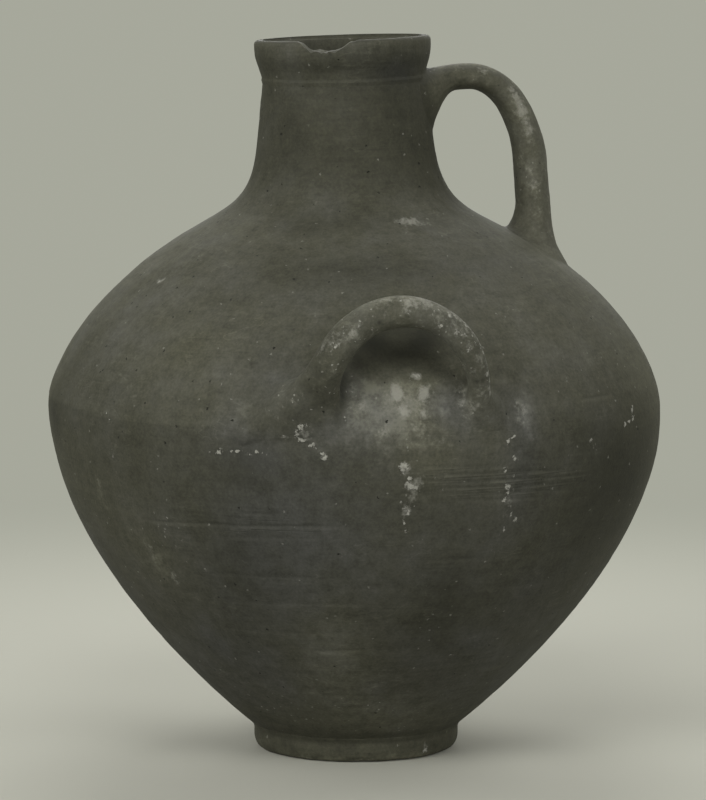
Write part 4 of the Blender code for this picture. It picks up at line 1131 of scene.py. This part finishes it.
def sidePath(s):
    # half of the loop from its root on the wall to its top, then the same mirrored
    reach = math.sqrt(wallRadius(s["rootHeight"]) ** 2 - s["halfSpan"] ** 2)
    root = (s["halfSpan"], -reach, s["rootHeight"])
    half = arc(root, s["leave"], (0, -s["apexReach"], s["apexHeight"]), (-1, 0, 0), s["pulls"])
    mirrored = half[-2::-1] * np.array((-1, 1, 1))
    return buried(np.vstack((half, mirrored)), s["bury"])


fromMiddle = lambda centre: np.stack((centre[:, 0], 0 * centre[:, 0], centre[:, 2] - side["rootHeight"]), -1)
handlePiece("side_handle_front", side, sidePath(side), fromMiddle, side["frontTurn"])
backSide = dict(side, seed=71, limeMarks=[(12, 187, 262, 1.4, 1.0), (-30, 184, 255, 1.2, 0.9)], toneMarks=[],
                chalkMarks=[(2, 186, 273, 6, 0.5), (-36, 184, 254, 5, 0.5), (33, 182, 246, 4, 0.45)])
handlePiece("side_handle_back", backSide, sidePath(side), fromMiddle, side["backTurn"])
print("handles done")

# Floor, surroundings and lamps
studio = {"background": (0.385, 0.392, 0.330, 1), "floor": (0.57, 0.57, 0.488, 1),
          "floorBounce": (0.36, 0.36, 0.34, 1), "floorRadius": 4.0,
          "fadeFrom": 0.30, "fadeTo": 1.0, "ambient": (1, 1, 1, 1), "ambientStrength": 0.08}
# Lamps: azimuth, elevation, distance, width, height and power
lamps = {
    "key": (-100.0, 46.0, 2.4, 0.9, 0.9, 9.0),
    "front": (-98.0, 8.0, 2.6, 1.0, 0.6, 8.0),
    "left": (-143.0, 22.0, 2.4, 1.2, 1.2, 27.0),
    "right": (-54.0, 18.0, 2.4, 1.2, 1.2, 15.0),
    "backTop": (80.0, 50.0, 2.4, 1.2, 1.2, 19.0),
    "backLow": (80.0, 16.0, 2.4, 0.8, 0.8, 13.0),
    "backLeft": (160.0, 42.0, 2.4, 1.2, 1.2, 8.0),
    "backRight": (20.0, 42.0, 2.4, 1.2, 1.2, 12.0),
}


def seenOutright(shader):
    # 1 for what the camera sees straight, in gloss or through glass, 0 for light on other things
    path = shader.tree.nodes.new("ShaderNodeLightPath")
    seen = [Value(shader, path.outputs[name]) for name in
            ("Is Camera Ray", "Is Glossy Ray", "Is Transmission Ray")]
    return shader.maths("MAXIMUM", shader.maths("MAXIMUM", seen[0], seen[1]), seen[2])


def addSurroundings(s):
    world = bpy.data.worlds.new("surroundings")
    world.use_nodes = True
    bpy.context.scene.world = world
    shader = Shader(world.node_tree)
    plain = shader.node("ShaderNodeBackground", Color=s["background"], Strength=1.0)
    light = shader.node("ShaderNodeBackground", Color=s["ambient"], Strength=s["ambientStrength"])
    both = shader.node("ShaderNodeMixShader", i0=seenOutright(shader), i1=light, i2=plain)
    shader.node("ShaderNodeOutputWorld", Surface=both)


def addFloor(s):
    # a wide disc that keeps the jug's shadow near it and turns into the plain background further off
    reach, sides = s["floorRadius"], 64
    turn = np.linspace(0, math.tau, sides, endpoint=False)
    points = np.column_stack((reach * np.cos(turn), reach * np.sin(turn), 0 * turn))
    mesh = bpy.data.meshes.new("floor")
    mesh.from_pydata(points.tolist(), [], [list(range(sides))])
    material = bpy.data.materials.new("pale_floor")
    material.use_nodes = True
    shader = Shader(material.node_tree)
    place = shader.node("ShaderNodeTexCoord", outlet=3)
    distance = shader.node("ShaderNodeVectorMath", {"operation": "LENGTH"}, outlet=1, i0=place)
    seen = seenOutright(shader)
    fade = shader.step(distance, s["fadeFrom"], s["fadeTo"]) * seen
    # the floor throws less light up at the jug than its own colour would
    matt = shader.node("ShaderNodeBsdfDiffuse", Color=shader.mix(seen, s["floorBounce"], s["floor"]))
    plain = shader.node("ShaderNodeEmission", Color=s["background"])
    both = shader.node("ShaderNodeMixShader", i0=fade, i1=matt, i2=plain)
    shader.node("ShaderNodeOutputMaterial", Surface=both)
    mesh.materials.append(material)
    floor = bpy.data.objects.new("floor", mesh)
    bpy.context.scene.collection.objects.link(floor)


def addLamp(name, azimuth, elevation, distance, width, height, power):
    data = bpy.data.lights.new(name, "AREA")
    data.shape, data.size, data.size_y, data.energy = "RECTANGLE", width, height, power
    lamp = bpy.data.objects.new(name, data)
    turn, rise = math.radians(azimuth), math.radians(elevation)
    way = Vector((math.cos(turn) * math.cos(rise), math.sin(turn) * math.cos(rise), math.sin(rise)))
    middle = Vector((0, 0, 0.2))
    lamp.location = middle + way * distance
    lamp.rotation_euler = way.to_track_quat("Z", "Y").to_euler()
    bpy.context.scene.collection.objects.link(lamp)


addSurroundings(studio)
addFloor(studio)
for name, setup in lamps.items():
    addLamp(name, *setup)
bpy.context.scene.view_settings.view_transform = "Standard"
print("studio done")

bpy.context.view_layer.update()
